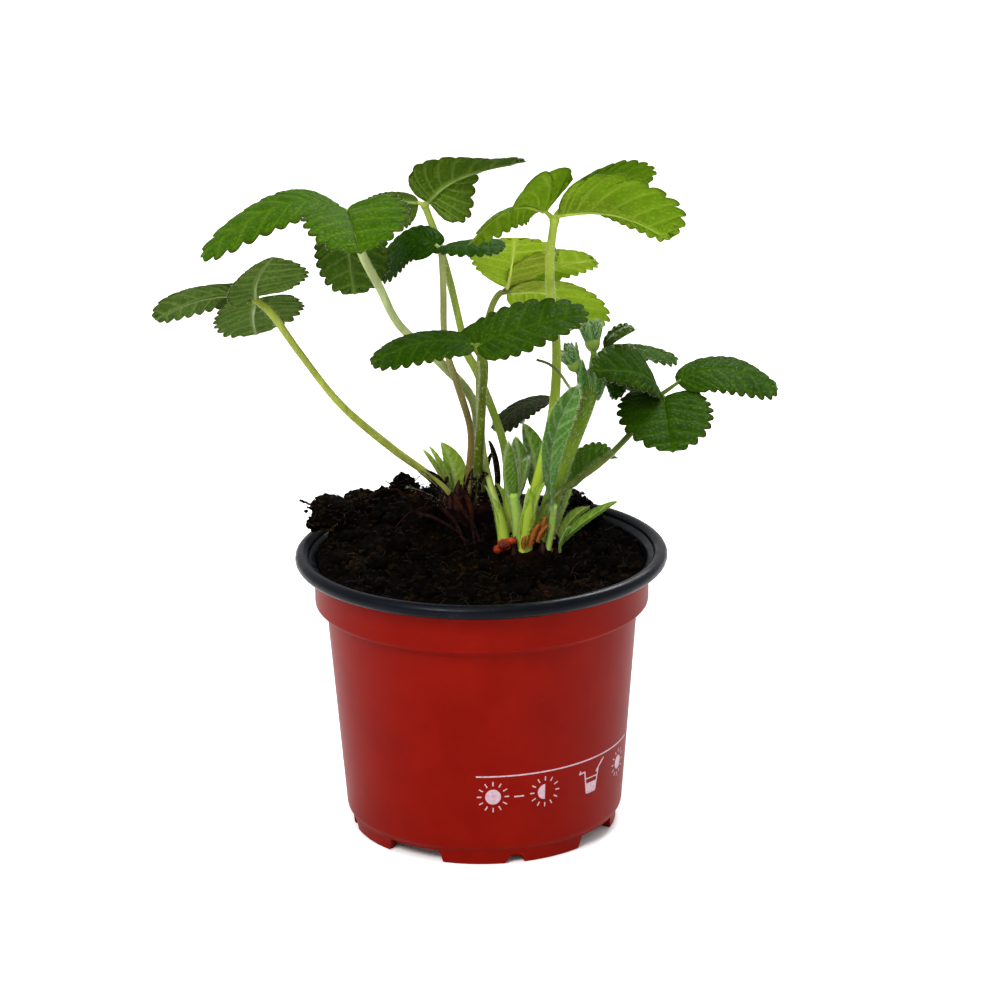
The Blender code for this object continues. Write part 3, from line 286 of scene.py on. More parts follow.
# Bracts and stipules: plain blades, most of them pointed.
BRACTS = {
    "stipules_left": [
        leaflet((-10.4, 21, 104.3), (-14.5, 20, 112.5), (-18.5, 19, 119.5), (0.8, 0, 0.5), 2.8, fold=24,
                blunt=1.5, widest=0.42),
        leaflet((-10.2, 21, 104.3), (-13, 19.5, 113), (-16.5, 18.5, 121), (0.8, 0.4, 0.4), 2.8, fold=24,
                blunt=1.5, widest=0.42),
        leaflet((-9.6, 21, 103.3), (-8.8, 21, 112), (-12.6, 19.5, 122), (0.3, 0.9, 0.3), 4.4, fold=26,
                blunt=1.7, widest=0.42),
    ],
    "bract_long": [
        leaflet((25.65, -0.9, 93), (33, 0.4, 99.3), (44, 5, 105.5), (-0.4, 0, 0.9), 3.6, fold=30,
                blunt=1.1, widest=0.5),
    ],
    "bract_wide": [
        leaflet((25.5, 3.2, 93), (30, 5.1, 99.3), (35, 7.9, 102.5), (-0.5, 0, 0.8), 3.8, fold=30,
                blunt=1.1, widest=0.5),
    ],
    "bract_low": [
        leaflet((25.2, -5.2, 92), (26.3, -4, 96.5), (28.5, -2.5, 99.5), (-0.5, 0.2, 0.8), 1.9, fold=20,
                blunt=1.2),
    ],
    "dry_stipule": [
        leaflet((4.1, 13.8, 101), (4.8, 11.5, 113), (2.8, 12.5, 124.5), (0.8, -0.5, 0.2), 1.9, fold=30,
                blunt=1.0),
    ],
    "dry_bract": [
        leaflet((-11.5, 13.4, 101), (-17, 7.5, 107), (-23.5, 1, 112.5), (0, 0, 1), 1.9, fold=24,
                blunt=1.2),
    ],
}

YOUNG_RUNNER = ([(18, -17, 159.5), (22, -17, 158), (25.5, -16.5, 154.5), (28, -8, 148.5), (30.5, 6, 142),
                 (32.3, 15, 138), (34.0, 20.2, 136.3)], (0.45, 0.6))


# ================================================================ building meshes
HAIR_LENGTHS = (0.55, 1.15)   # shares of the length that is asked for
HAIR_DROOP = 0.12
STRAND_FACES = ((0, 1, 4, 3), (3, 4, 6), (1, 2, 5, 4), (4, 5, 6), (2, 0, 3, 5), (5, 3, 6))


class Shape:
    """Gathers points, faces, a material number per face and one number per point, for one piece."""

    def __init__(self):
        self.points, self.faces, self.slots, self.tint = [], [], [], []

    def add(self, points, faces, slot=0, tint=0.0):
        start = len(self.points)
        self.points.extend(map(tuple, points))
        self.faces.extend(tuple(start + i for i in face) for face in faces)
        self.slots.extend([slot] * len(faces))
        self.tint.extend(np.broadcast_to(tint, len(points)).tolist())

    def piece(self, name, materials, slot_name, nodes=(), smooth=True):
        mesh = bpy.data.meshes.new(name)
        mesh.from_pydata([(x * MM, y * MM, z * MM) for x, y, z in self.points], [], self.faces)
        for mat in materials:
            mesh.materials.append(mat)
        mesh.polygons.foreach_set("material_index", self.slots)
        mesh.polygons.foreach_set("use_smooth", [smooth] * len(self.faces))
        mesh.attributes.new("tint", "FLOAT", "POINT").data.foreach_set("value", self.tint)
        mesh.update()
        return place(add_object(name, mesh), slot_name, nodes)


def add_object(name, data):
    obj = bpy.data.objects.new(name, data)
    bpy.context.scene.collection.objects.link(obj)
    return obj


def place(obj, slot_name, nodes=()):
    """Ties a piece to the body and hides the solids that it stands for; the finish, `slot_name`, is not
    used.
    """
    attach(obj, "root")
    if nodes:
        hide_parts(*nodes)
    return obj


def unit(v):
    return v / np.maximum(np.linalg.norm(v, axis=-1, keepdims=True), 1e-9)


def around(angle, radius=1.0, z=0.0):
    """The point at this angle and radius from the pot's axis."""
    return np.array([radius * math.cos(angle), radius * math.sin(angle), z])


def smooth_path(points, per_span=6):
    """Points on a Catmull-Rom curve through the given points."""
    pts = np.array(points, float)
    ends = np.vstack([2 * pts[0] - pts[1], pts, 2 * pts[-1] - pts[-2]])
    path = []
    for a, b, c, d in zip(ends, ends[1:], ends[2:], ends[3:]):
        for k in range(per_span):
            t = k / per_span
            path.append(0.5 * (2 * b + (c - a) * t + (2 * a - 5 * b + 4 * c - d) * t * t
                               + (3 * b - a - 3 * c + d) * t ** 3))
    path.append(pts[-1])
    return np.array(path)


def frames(path):
    """Direction and two cross directions along a path, without twist."""
    ahead = unit(np.gradient(path, axis=0))
    side = np.cross(ahead[0], UP if abs(ahead[0][2]) < 0.9 else np.array([0.0, 1.0, 0.0]))
    sides = []
    for direction in ahead:
        side = unit(side - direction * side.dot(direction))
        sides.append(side)
    sides = np.array(sides)
    return ahead, sides, np.cross(ahead, sides)


def rod(shape, path, radius, sides, tint=0.0, slot=0):
    """A round rod along the path; `radius` and `tint` are numbers, or one for each point."""
    path = np.asarray(path, float)
    radius = np.broadcast_to(radius, len(path))
    _, side, over = frames(path)
    angles = np.linspace(0, TURN, sides, endpoint=False)
    ring = side[:, None] * np.cos(angles)[None, :, None] + over[:, None] * np.sin(angles)[None, :, None]
    points = (path[:, None] + ring * radius[:, None, None]).reshape(-1, 3)
    last = (len(path) - 1) * sides
    faces = [(k + i, k + (i + 1) % sides, k + sides + (i + 1) % sides, k + sides + i)
             for k in range(0, last, sides) for i in range(sides)]
    faces += [tuple(range(sides))[::-1], tuple(range(last, last + sides))]
    shape.add(points, faces, slot, np.repeat(np.broadcast_to(tint, len(path)), sides))


def dome_faces(steps, rings):
    """Faces of a surface that spreads in rings from one middle point."""
    faces = [(0, 1 + i, 1 + (i + 1) % steps) for i in range(steps)]
    for inner in range(1, 1 + rings * steps, steps):
        outer = inner + steps
        faces += [(inner + i, outer + i, outer + (i + 1) % steps, inner + (i + 1) % steps)
                  for i in range(steps)]
    return faces


def strand(shape, foot, bend, tip, radius, slot):
    """A hair: three-sided, from a wide foot through one bend to a point."""
    ahead = unit(tip - foot)
    side = unit(np.cross(ahead, UP + 0.137))
    over = np.cross(ahead, side)
    corners = [side, -0.5 * side + 0.87 * over, -0.5 * side - 0.87 * over]
    points = [foot + c * radius for c in corners] + [bend + c * radius * 0.7 for c in corners] + [tip]
    shape.add(points, STRAND_FACES, slot)


def fur(shape, feet, outward, count, length, radius, rng, lean=None, slot=1, wild=0.35):
    """Hairs rooted at random among `feet`, each along its `outward` direction, leaning along `lean`."""
    for k in rng.integers(0, len(feet), count):
        way = outward[k] + rng.normal(0, wild, 3)
        if lean is not None:
            way = way + lean[k]
        way = unit(way)
        reach = length * rng.uniform(*HAIR_LENGTHS)
        bend = feet[k] + way * reach * 0.5
        tip = bend + way * reach * 0.5 + np.array([0.0, 0.0, -HAIR_DROOP * reach])
        strand(shape, feet[k] - way * radius, bend, tip, radius, slot)


def stalk_fur(shape, path, radius, rng, spots, first, spread, count, length, thick, out=1.0, lean=0.0):
    """Hairs around a stalk from its point number `first` up, `lean` parts along it to `out` off it."""
    ahead, side, over = frames(path)
    angles = rng.uniform(0, TURN, spots)
    at = rng.integers(first, len(path) - 1, spots)
    outward = side[at] * np.cos(angles)[:, None] + over[at] * np.sin(angles)[:, None]
    feet = path[at] + outward * radius[at, None] + ahead[at] * rng.uniform(-spread, spread, (spots, 1))
    fur(shape, feet, outward * out, count, length, thick, rng, lean=ahead[at] * lean, wild=0.25)


def blade_fur(shape, edges, rng, margin, face, length, radius, slot=1):
    """Fine hairs on a leaflet: `margin` along each half's edge and `face` lying on its two sides."""
    for rim, outward, points, normal in edges:
        fur(shape, rim, outward * 1.2, margin, length, radius, rng, slot=slot)
        toward = np.broadcast_to(unit(rim[-1] - rim[0]), normal.shape)
        sign = np.where(rng.random((len(normal), 1)) < 0.5, -1.0, 1.0)
        fur(shape, points, normal * 0.5 * sign, face, length * 1.3, radius, rng, toward, slot)


def lump(shape, centre, radii, detail, rough, seed, tint=0.0):
    """A rough rounded lump."""
    ball = bmesh.new()
    bmesh.ops.create_icosphere(ball, subdivisions=detail, radius=1.0)
    shift = Vector((seed * 3.7, seed * 1.3, -seed * 2.1))
    points = []
    for vert in ball.verts:
        rise = noise.noise(vert.co * 2.3 + shift) + 0.5 * noise.noise(vert.co * 6.0 + shift)
        points.append([vert.co[k] * radii[k] * (1.0 + rough * rise) + centre[k] for k in range(3)])
    faces = [tuple(v.index for v in face.verts) for face in ball.faces]
    ball.free()
    shape.add(points, faces, 0, tint)


# ================================================================ leaflets
def midrib(spec, t):
    """Points of the leaflet's middle line: a curve through its base, middle and tip."""
    base, middle, tip = spec["base"], spec["middle"], spec["tip"]
    knee = 2 * middle - (base + tip) / 2
    t = np.asarray(t, float)[..., None]
    return base * (1 - t) ** 2 + knee * 2 * t * (1 - t) + tip * t * t


def blade_points(spec, along, out):
    """Points of the leaflet and the way its upper side faces there: `out` mm to the midrib's right."""
    blend = np.clip(along, 0.0, 1.0)
    after, before = midrib(spec, np.minimum(blend + 0.01, 1.0)), midrib(spec, np.maximum(blend - 0.01, 0.0))
    direction = unit(after - before)
    here = midrib(spec, blend) + direction * ((along - blend) * spec["length"])[..., None]
    turned = np.minimum(blend / spec["settle"], 1.0)[..., None]
    side = unit(np.cross(direction, spec["face"] * (1 - turned) + spec["face_tip"] * turned))
    up = unit(np.cross(side, direction))
    right = out >= 0.0
    sign = np.where(right, 1.0, -1.0)
    fold, fold_tip, arch, half = (np.where(right, *spec[k]) for k in ("fold", "fold_tip", "arch", "half"))
    start = np.radians(fold * (1 - turned[..., 0]) + fold_tip * turned[..., 0])
    bend = np.radians(arch)
    radius = half / np.where(np.abs(bend) < 1e-4, 1e-4, bend)
    turn = start + np.abs(out) / radius
    across = sign * radius * (np.sin(turn) - np.sin(start))
    lift = radius * (np.cos(start) - np.cos(turn))
    normal = up * np.cos(turn)[..., None] - side * (sign * np.sin(turn))[..., None]
    return here + side * across[..., None] + up * lift[..., None], normal


def edge(spec, part, which):
    """Place of the plain edge at `part` (0 foot, 1 tip): share of the length, and reach in mm."""
    angle = np.pi * part
    widest, lobe, wedge, blunt = (spec[key][which] for key in ("widest", "lobe", "wedge", "blunt"))
    low = angle < np.pi / 2
    sine = np.clip(np.sin(angle), 0.0, 1.0)
    along = np.where(low, widest * (1 - np.cos(angle)) - lobe * np.sin(2 * angle) ** 2,
                     widest - (1 - widest) * np.cos(angle))
    return along, np.where(low, sine ** wedge, sine ** blunt) * spec["half"][which]


def edge_steps(spec, which, teeth, toothed):
    """Places along the edge for the blade's columns, each one's count in teeth, and a tooth's width."""
    fine = np.linspace(0, 1, EDGE_SAMPLES)
    along, reach = edge(spec, fine, which)
    run = np.append(0.0, np.cumsum(np.hypot(np.diff(along) * spec["length"], np.diff(reach))))
    bare = BARE * run[-1]
    pitch = (run[-1] - bare) / teeth
    steps, foot_steps = (TOOTH_STEPS, 9) if toothed else (PLAIN_STEPS, 5)
    cut = np.concatenate([k + np.array(steps) for k in range(math.ceil(teeth))])
    foot = np.linspace(0, 1, foot_steps)[:-1] - 1.0
    counts = np.concatenate([foot * bare / pitch, cut[cut < teeth - 0.02], [teeth]])
    return np.interp(bare + counts * pitch, run, fine), counts, pitch


def cut_edge(spec, which, parts, depth):
    """The edge cut back by `depth` mm, and the share of the midrib where each place's side vein starts."""
    along, reach = edge(spec, parts, which)
    before, after = (edge(spec, np.clip(parts + d, 0.0, 1.0), which) for d in (-EDGE_STEP, EDGE_STEP))
    run = unit(np.stack([(after[0] - before[0]) * spec["length"], after[1] - before[1]], -1))
    run[-1] = (0.0, -1.0)
    root = np.maximum(along, 0.0) ** VEIN_LEAN
    return along + run[:, 1] * depth / spec["length"], np.maximum(reach - run[:, 0] * depth, 0.0), root


def noise_at(points, scale, shift):
    return np.array([[noise.noise(Vector(p * scale) + Vector(shift)) for p in line] for line in points])


def leaflet_grid(spec, which, teeth, toothed, quilt, wave, seed):
    """Points, upward directions and vein strength of one half, as arrays of edge place by row."""
    parts, counts, pitch = edge_steps(spec, which, teeth, toothed)
    phase = counts % 1.0
    away = np.abs(phase - TOOTH_PEAK) / np.where(phase < TOOTH_PEAK, TOOTH_PEAK, 1 - TOOTH_PEAK)
    height = TOOTH_HEIGHT * pitch * np.clip(counts * 1.2 + 0.4, 0.0, 1.0) * toothed
    along, reach, root = cut_edge(spec, which, parts, height * away ** 2.4)
    rows = np.array(ROWS if toothed else PLAIN_ROWS)[None, :]
    away, reach = away[:, None], reach[:, None]
    sign = 1.0 if which == 0 else -1.0
    bow = 1.0 - VEIN_BOW * np.sin(np.pi * rows)
    points, normal = blade_points(spec, root[:, None] + (along - root)[:, None] * rows * bow,
                                  sign * reach * rows + sign * 1e-7)
    vein = np.exp(-(away / VEIN_WIDTH) ** 2) * np.clip(rows / 0.04, 0, 1) * (1 - 0.5 * rows)
    rib = np.exp(-(rows * reach / RIB_WIDTH) ** 2)
    lift = relief(spec, points, rows, away, rib, toothed, quilt, wave, seed)
    fade = np.clip(np.minimum(parts, 1 - parts) * 6, 0, 1)[:, None]
    points = points + normal * (lift * fade)[..., None]
    rim = np.clip((rows - 0.9) / 0.1, 0, 1) * (1.0 - 0.5 * away) * toothed
    return points, normal, np.maximum(vein * 0.8, rib) * (1.0 - rim) - rim


def relief(spec, points, rows, away, rib, toothed, quilt, wave, seed):
    """How far the blade stands off its plain shape: it swells between its side veins."""
    size = np.mean(spec["half"]) / RELIEF_HALF
    dome = np.sqrt(rows) * np.sqrt(1 - rows * 0.96)
    lift = quilt * size * (1 - np.exp(-(away / QUILT_WIDTH) ** 2)) * dome * QUILT_HEIGHT
    small = noise_at(points, CRUMPLE_SCALE, (seed, 0, 0))
    large = noise_at(points, WAVE_SCALE, (0, seed, 0))
    lift += CRUMPLE_HEIGHT * size * small * dome - MIDRIB_GROOVE * size * rib
    lift += wave * size * large * rows ** 1.5 * (1.0 if toothed else PLAIN_WAVE)
    return lift - RIM_DROP * size * np.clip(rows - RIM_START, 0, 1) * (1 - away) * toothed


def add_leaflet(sheet, spec, seed, teeth, toothed=False, quilt=0.3, wave=0.5):
    """One leaflet as an open sheet.  Returns places and directions along its edge for hairs."""
    edges = []
    for which in (0, 1):
        points, normal, vein = leaflet_grid(spec, which, teeth, toothed, quilt, wave, seed + which * 5.0)
        columns, rows = vein.shape
        quads = [(a, a + 1, a + rows + 1, a + rows)
                 for i in range(columns - 1) for a in range(i * rows, i * rows + rows - 1)]
        faces = quads if which == 0 else [quad[::-1] for quad in quads]
        sheet.add(points.reshape(-1, 3), faces, 0, vein.reshape(-1))
        outward = unit(points[:, -1] - points[:, -4])
        edges.append((points[:, -1], outward, points.reshape(-1, 3), normal.reshape(-1, 3)))
    return edges


def blade_piece(sheet, name, title, looks, slot_name, nodes=(), thickness=THIN_BLADE):
    """A piece from a sheet of blades, welded along the midribs, with a thickness and a second face."""
    obj = sheet.piece(name, leaf_pair(title, *looks), slot_name, nodes)
    weld = bmesh.new()
    weld.from_mesh(obj.data)
    bmesh.ops.remove_doubles(weld, verts=weld.verts, dist=0.00002)
    bmesh.ops.dissolve_degenerate(weld, dist=0.000005, edges=weld.edges)
    weld.to_mesh(obj.data)
    weld.free()
    skin = obj.modifiers.new("thickness", "SOLIDIFY")
    skin.thickness = thickness * MM
    skin.offset = 0.0
    skin.material_offset = 1
    skin.material_offset_rim = 1


# ================================================================ materials
LEAF_RIM = (0.030, 0.018, 0.004)
NET_SHADE = 0.65
STALK_GLOW = 0.12
HAIR_COLOUR = (0.75, 0.82, 0.6)


def new_material(name, roughness, specular=0.5):
    """A node material with a Principled shader, named with spaces for underscores."""
    mat = bpy.data.materials.new(name.replace("_", " "))
    mat.use_nodes = True
    sockets = mat.node_tree.nodes["Principled BSDF"].inputs
    sockets["Roughness"].default_value = roughness
    sockets["Specular IOR Level"].default_value = specular
    return mat


def node(mat, kind, **values):
    made = mat.node_tree.nodes.new(kind)
    for key, value in values.items():
        setattr(made, key, value)
    return made


def link(mat, a, b):
    mat.node_tree.links.new(a, b)


def paint(mat, source, socket="Base Color"):
    """Leads a source to one socket of the material's main shader."""
    link(mat, source, mat.node_tree.nodes["Principled BSDF"].inputs[socket])


def noise_tint(mat, scale, detail=4.0, roughness=0.6, stretch=None):
    """A noise pattern in the object's own coordinates."""
    pattern = node(mat, "ShaderNodeTexNoise")
    pattern.inputs["Scale"].default_value = scale
    pattern.inputs["Detail"].default_value = detail
    pattern.inputs["Roughness"].default_value = roughness
    source = node(mat, "ShaderNodeTexCoord").outputs["Object"]
    if stretch:
        mapping = node(mat, "ShaderNodeMapping")
        mapping.inputs["Scale"].default_value = stretch
        link(mat, source, mapping.inputs["Vector"])
        source = mapping.outputs["Vector"]
    link(mat, source, pattern.inputs["Vector"])
    return pattern.outputs["Fac"]


def ramp(mat, source, *stops):
    """Turns a value into a colour; each stop is a place and its colour or grey level."""
    made = node(mat, "ShaderNodeValToRGB")
    bands = made.color_ramp.elements
    while len(bands) < len(stops):
        bands.new(0.5)
    for band, (at, colour) in zip(bands, stops):
        band.position = at
        band.color = (*(colour if isinstance(colour, tuple) else (colour,) * 3), 1.0)
    link(mat, source, made.inputs["Fac"])
    return made.outputs["Color"]


def mottle(mat, scale, *stops, detail=4.0, roughness=0.6, stretch=None):
    return ramp(mat, noise_tint(mat, scale, detail, roughness, stretch), *stops)


def mix(mat, share, a, b, blend="MIX"):
    made = node(mat, "ShaderNodeMix", data_type="RGBA", blend_type=blend)
    for socket, value in ((made.inputs[0], share), (made.inputs[6], a), (made.inputs[7], b)):
        if isinstance(value, bpy.types.NodeSocket):
            link(mat, value, socket)
        else:
            socket.default_value = (*value, 1.0) if isinstance(value, tuple) else value
    return made.outputs[2]


def tint_attribute(mat):
    return node(mat, "ShaderNodeAttribute", attribute_name="tint").outputs["Fac"]


def bump(mat, source, strength, distance):
    made = node(mat, "ShaderNodeBump")
    made.inputs["Strength"].default_value = strength
    made.inputs["Distance"].default_value = distance
    link(mat, source, made.inputs["Height"])
    paint(mat, made.outputs["Normal"], "Normal")


def through(mat, colour, share):
    """Lets light through a thin blade: a translucent shader beside the surface."""
    glow = node(mat, "ShaderNodeBsdfTranslucent")
    glow.inputs["Color"].default_value = (*colour, 1.0)
    blend = node(mat, "ShaderNodeMixShader")
    blend.inputs["Fac"].default_value = share
    link(mat, mat.node_tree.nodes["Principled BSDF"].outputs[0], blend.inputs[1])
    link(mat, glow.outputs[0], blend.inputs[2])
    link(mat, blend.outputs[0], mat.node_tree.nodes["Material Output"].inputs["Surface"])


def leaf_surface(name, deep, light, vein, glow, share, roughness=0.5):
    """One face of a leaf: mottled green, a fine net between paler veins, and light coming through."""
    mat = new_material(name, roughness, 0.02)
    base = mottle(mat, 130.0, (0.32, deep), (0.68, light), detail=6.0, roughness=0.7)
    net = node(mat, "ShaderNodeTexVoronoi", feature="DISTANCE_TO_EDGE")
    net.inputs["Scale"].default_value = 600.0
    link(mat, node(mat, "ShaderNodeTexCoord").outputs["Object"], net.inputs["Vector"])
    line = ramp(mat, net.outputs["Distance"], (0.0, 0.7), (0.26, 0.0))
    netted = mix(mat, line, base, tuple(NET_SHADE * d for d in deep))
    veined = mix(mat, tint_attribute(mat), netted, vein)
    rim = node(mat, "ShaderNodeMath", operation="MULTIPLY", use_clamp=True)
    rim.inputs[1].default_value = -0.75
    link(mat, tint_attribute(mat), rim.inputs[0])
    paint(mat, mix(mat, rim.outputs[0], veined, LEAF_RIM))
    bump(mat, net.outputs["Distance"], 0.7, 0.0008)
    through(mat, glow, share)
    return mat


def leaf_pair(name, top, under):
    """Upper and lower surface of one leaf, from two (deep, light, vein, glow, share) sets."""
    return [leaf_surface(name + " top", *top), leaf_surface(name + " underside", *under, roughness=0.7)]


def stalk_surface(name, low, high):
    """A stalk: its tint runs from `low` at the foot to `high` at the top, in fine long streaks."""
    mat = new_material(name, 0.4, 0.14)
    sockets = mat.node_tree.nodes["Principled BSDF"].inputs
    sockets["Subsurface Weight"].default_value = 0.08
    sockets["Subsurface Radius"].default_value = (0.002, 0.003, 0.001)
    streaks = mottle(mat, 260.0, (0.35, 0.72), (0.7, 1.15), detail=3.0, roughness=0.5, stretch=(1, 1, 0.12))
    paint(mat, mix(mat, 1.0, mix(mat, tint_attribute(mat), low, high), streaks, "MULTIPLY"))
    through(mat, high, STALK_GLOW)
    return mat


def hair_surface():
    mat = new_material("hair", 0.4)
    paint(mat, mottle(mat, 300.0, (0.3, tuple(c * 0.8 for c in HAIR_COLOUR)), (0.7, HAIR_COLOUR)))
    through(mat, HAIR_COLOUR, 0.4)
    return mat


def earth_surface(name, dark, brown, roughness=0.95):
    """Grainy earth with reddish brown patches."""
    mat = new_material(name, roughness, 0.02)
    grain = mottle(mat, 420.0, (0.35, dark), (0.62, brown), (0.8, tuple(c * 2 for c in brown)), detail=6.0,
                   roughness=0.7)
    patches = mottle(mat, 55.0, (0.54, 1.0), (0.62, (2.6, 2.1, 1.0)), (0.72, (4.2, 2.0, 1.2)))
    paint(mat, mix(mat, 1.0, grain, patches, "MULTIPLY"))
    bump(mat, noise_tint(mat, 900.0, 5.0, 0.7), 0.9, 0.0012)
    return mat


def pot_red():
    mat = new_material("pot red", 0.42, 0.03)
    base = mottle(mat, 60.0, (0.3, (0.135, 0.0022, 0.0004)), (0.7, (0.165, 0.0036, 0.0007)), detail=5.0)
    dust = mottle(mat, 700.0, (0.70, 0.0), (0.78, 1.0), detail=2.0)
    paint(mat, mix(mat, dust, base, (0.13, 0.010, 0.004)))
    bump(mat, noise_tint(mat, 1500.0, 2.0), 0.08, 0.0002)
    return mat


def pot_black():
    mat = new_material("pot black", 0.3, 0.07)
    base = mottle(mat, 80.0, (0.3, (0.0008, 0.0012, 0.0028)), (0.7, (0.002, 0.003, 0.006)), detail=5.0)
    dust = mottle(mat, 260.0, (0.62, 0.0), (0.78, 0.6), detail=6.0, roughness=0.7)
    paint(mat, mix(mat, dust, base, (0.03, 0.022, 0.018)))
    paint(mat, mottle(mat, 200.0, (0.3, 0.22), (0.8, 0.5)), "Roughness")
    return mat


def mottled_surface(name, roughness, specular, scale, *stops):
    mat = new_material(name, roughness, specular)
    paint(mat, mottle(mat, scale, *stops))
    return mat


# ================================================================ pot
def pot_profile():
    """Section of the thin wall, up the inside and down the outside."""
    collar, shelf, foot, rise = COLLAR_RADIUS, COLLAR_FOOT_Z, FOOT_RADIUS, FOOT_HEIGHT
    body_top, body_foot, edge_in = BODY_TOP_RADIUS, BODY_FOOT_RADIUS, FOOT_RADIUS - FOOT_WIDTH
    roll_x, roll_z = LIP_RADIUS - LIP_ROLL, POT_HEIGHT - LIP_ROLL
    inner = [(0.0, FLOOR_TOP), (body_foot - 2.2, FLOOR_TOP), (body_foot - WALL, FLOOR_TOP + 1.4),
             (body_top - WALL, shelf - 2.0), (collar - WALL - 0.9, shelf + 0.4),
             (collar - WALL, shelf + 1.8), (collar - WALL, roll_z - LIP_ROLL - 0.8)]
    bend = [(collar - WALL + 0.15, roll_z - LIP_ROLL + 0.8), (collar - WALL + 0.7, roll_z - 0.6)]
    roll = [(roll_x + LIP_ROLL * math.cos(math.radians(d)), roll_z + LIP_ROLL * math.sin(math.radians(d)))
            for d in range(170, -91, -12)]
    outer = [(roll_x - 1.2, roll_z - LIP_ROLL), (collar + 0.9, roll_z - LIP_ROLL),
             (collar + 0.25, roll_z - LIP_ROLL - 0.4), (collar, roll_z - LIP_ROLL - 1.2),
             (collar, shelf + 1.2), (collar - 0.12, shelf + 0.5), (collar - 0.5, shelf + 0.1),
             (collar - 1.1, shelf - 0.1),
             (body_top + 0.9, shelf - 0.5), (body_top + 0.3, shelf - 1.2), (body_top, shelf - 2.2),
             (body_foot + 0.15, rise + 1.6), (body_foot - 0.1, rise + 0.5), (foot + 0.7, rise - 0.2),
             (foot + 0.2, rise - 0.9), (foot, rise - 1.8), (foot - 0.3, 0.35), (foot - 0.65, 0.0),
             (edge_in + 0.3, 0.0), (edge_in, 0.3), (edge_in - 0.4, rise - 0.6), (edge_in - 1.2, rise),
             (0.0, rise)]
    return inner + bend + roll + outer


def turned_pot():
    """The profile, turned about the pot's axis."""
    profile = pot_profile()
    mesh = bpy.data.meshes.new("pot_wall")
    mesh.from_pydata([(r * MM, 0.0, z * MM) for r, z in profile],
                     [(i, i + 1) for i in range(len(profile) - 1)], [])
    pot = add_object("pot_wall", mesh)
    screw = pot.modifiers.new("turn", "SCREW")
    screw.axis = "Z"
    screw.steps = POT_STEPS
    screw.render_steps = POT_STEPS
    screw.use_merge_vertices = True
    screw.merge_threshold = 1e-5
    apply_modifiers(pot)
    return pot


def apply_modifiers(obj):
    bpy.context.view_layer.update()
    graph = bpy.context.evaluated_depsgraph_get()
    old = obj.data
    mesh = bpy.data.meshes.new_from_object(obj.evaluated_get(graph), depsgraph=graph)
    obj.modifiers.clear()
    obj.data = mesh
    bpy.data.meshes.remove(old)


def block(azimuth):
    """Clears the foot ring between two feet."""
    width = 2 * FOOT_RADIUS * math.sin(math.radians(NOTCH_ARC / 2)) + 2 * NOTCH_SLOPE
    bpy.ops.mesh.primitive_cube_add(size=1.0)
    obj = bpy.context.object
    for vert in obj.data.vertices:
        lean = NOTCH_SLOPE if vert.co.z > 0 else 0.0
        vert.co.y = math.copysign((width / 2 - lean) * MM, vert.co.y)
        vert.co.x = (FOOT_RADIUS - FOOT_MIDDLE + math.copysign(5.0, vert.co.x)) * MM
        vert.co.z = (FOOT_HEIGHT - 1.4) * MM if vert.co.z > 0 else -MM
    obj.matrix_world = Matrix.Rotation(math.radians(azimuth), 4, "Z")
    return obj


def drill(radius, depth, middle, rotation=(0.0, 0.0, 0.0)):
    bpy.ops.mesh.primitive_cylinder_add(vertices=40, radius=radius * MM, depth=depth * MM,
                                        location=[v * MM for v in middle], rotation=rotation)
    return bpy.context.object


def pot_cutters():
    """What is cut from the pot: notches between the feet, an arch in each foot, and the drain holes."""
    cutters = []
    for i in range(FOOT_COUNT):
        azimuth = FOOT_AZIMUTH + 360.0 / FOOT_COUNT * i
        angle = math.radians(azimuth)
        cutters.append(block(azimuth + 180.0 / FOOT_COUNT))
        middle = around(angle, FOOT_RADIUS - FOOT_MIDDLE)
        cutters.append(drill(ARCH_RADIUS, 9.0, middle, (0.0, math.pi / 2, angle)))
    for i in range(DRAIN_COUNT):
        angle = math.radians(FOOT_AZIMUTH + 360.0 / DRAIN_COUNT * i)
        cutters.append(drill(DRAIN_RADIUS, 6.0, around(angle, DRAIN_CIRCLE, FLOOR_TOP)))
    return cutters


def cut(obj, cutters):
    group = bpy.data.collections.new("pot_cutters")
    for cutter in cutters:
        for old in cutter.users_collection:
            old.objects.unlink(cutter)
        group.objects.link(cutter)
    bpy.context.scene.collection.children.link(group)
    tool = obj.modifiers.new("cut", "BOOLEAN")
    tool.operation = "DIFFERENCE"
    tool.operand_type = "COLLECTION"
    tool.collection = group
    apply_modifiers(obj)
    for cutter in cutters:
        bpy.data.objects.remove(cutter)
    bpy.data.collections.remove(group)


def make_pot():
    pot = turned_pot()
    cut(pot, pot_cutters())
    pot.data.materials.clear()
    pot.data.materials.append(pot_red())
    pot.data.materials.append(pot_black())
    lip = (POT_HEIGHT - 2 * LIP_ROLL - 0.55) * MM
    for face in pot.data.polygons:
        radial = Vector((face.center.x, face.center.y, 0.0)).normalized()
        inward = face.normal.dot(radial) < -0.3 and face.center.z > FLOOR_TOP * MM
        floor = face.normal.z > 0.7 and (FLOOR_TOP - 1) * MM < face.center.z < 12 * MM
        face.material_index = 1 if inward or floor or face.center.z > lip else 0
    pot.data.shade_smooth()
    pot.data.set_sharp_from_angle(angle=math.radians(35.0))
    place(pot, "pot", ["pot"])


# The printed care signs.  Places are millimetres along the wall from its front, and heights.
RULE = ((-2.7, 31.5), (64.0, 31.5))
SUN = (2.8, 24.4)
HALF_SUN = (20.5, 24.5)
DASH = ((9.8, 24.1), (13.1, 24.1))
SHADED = (57.0, 24.5)
SUN_RADIUS = 2.6
RAYS = 12
RAY_WIDTH = 0.42
WATERED_POT = (39.6, 24.0)
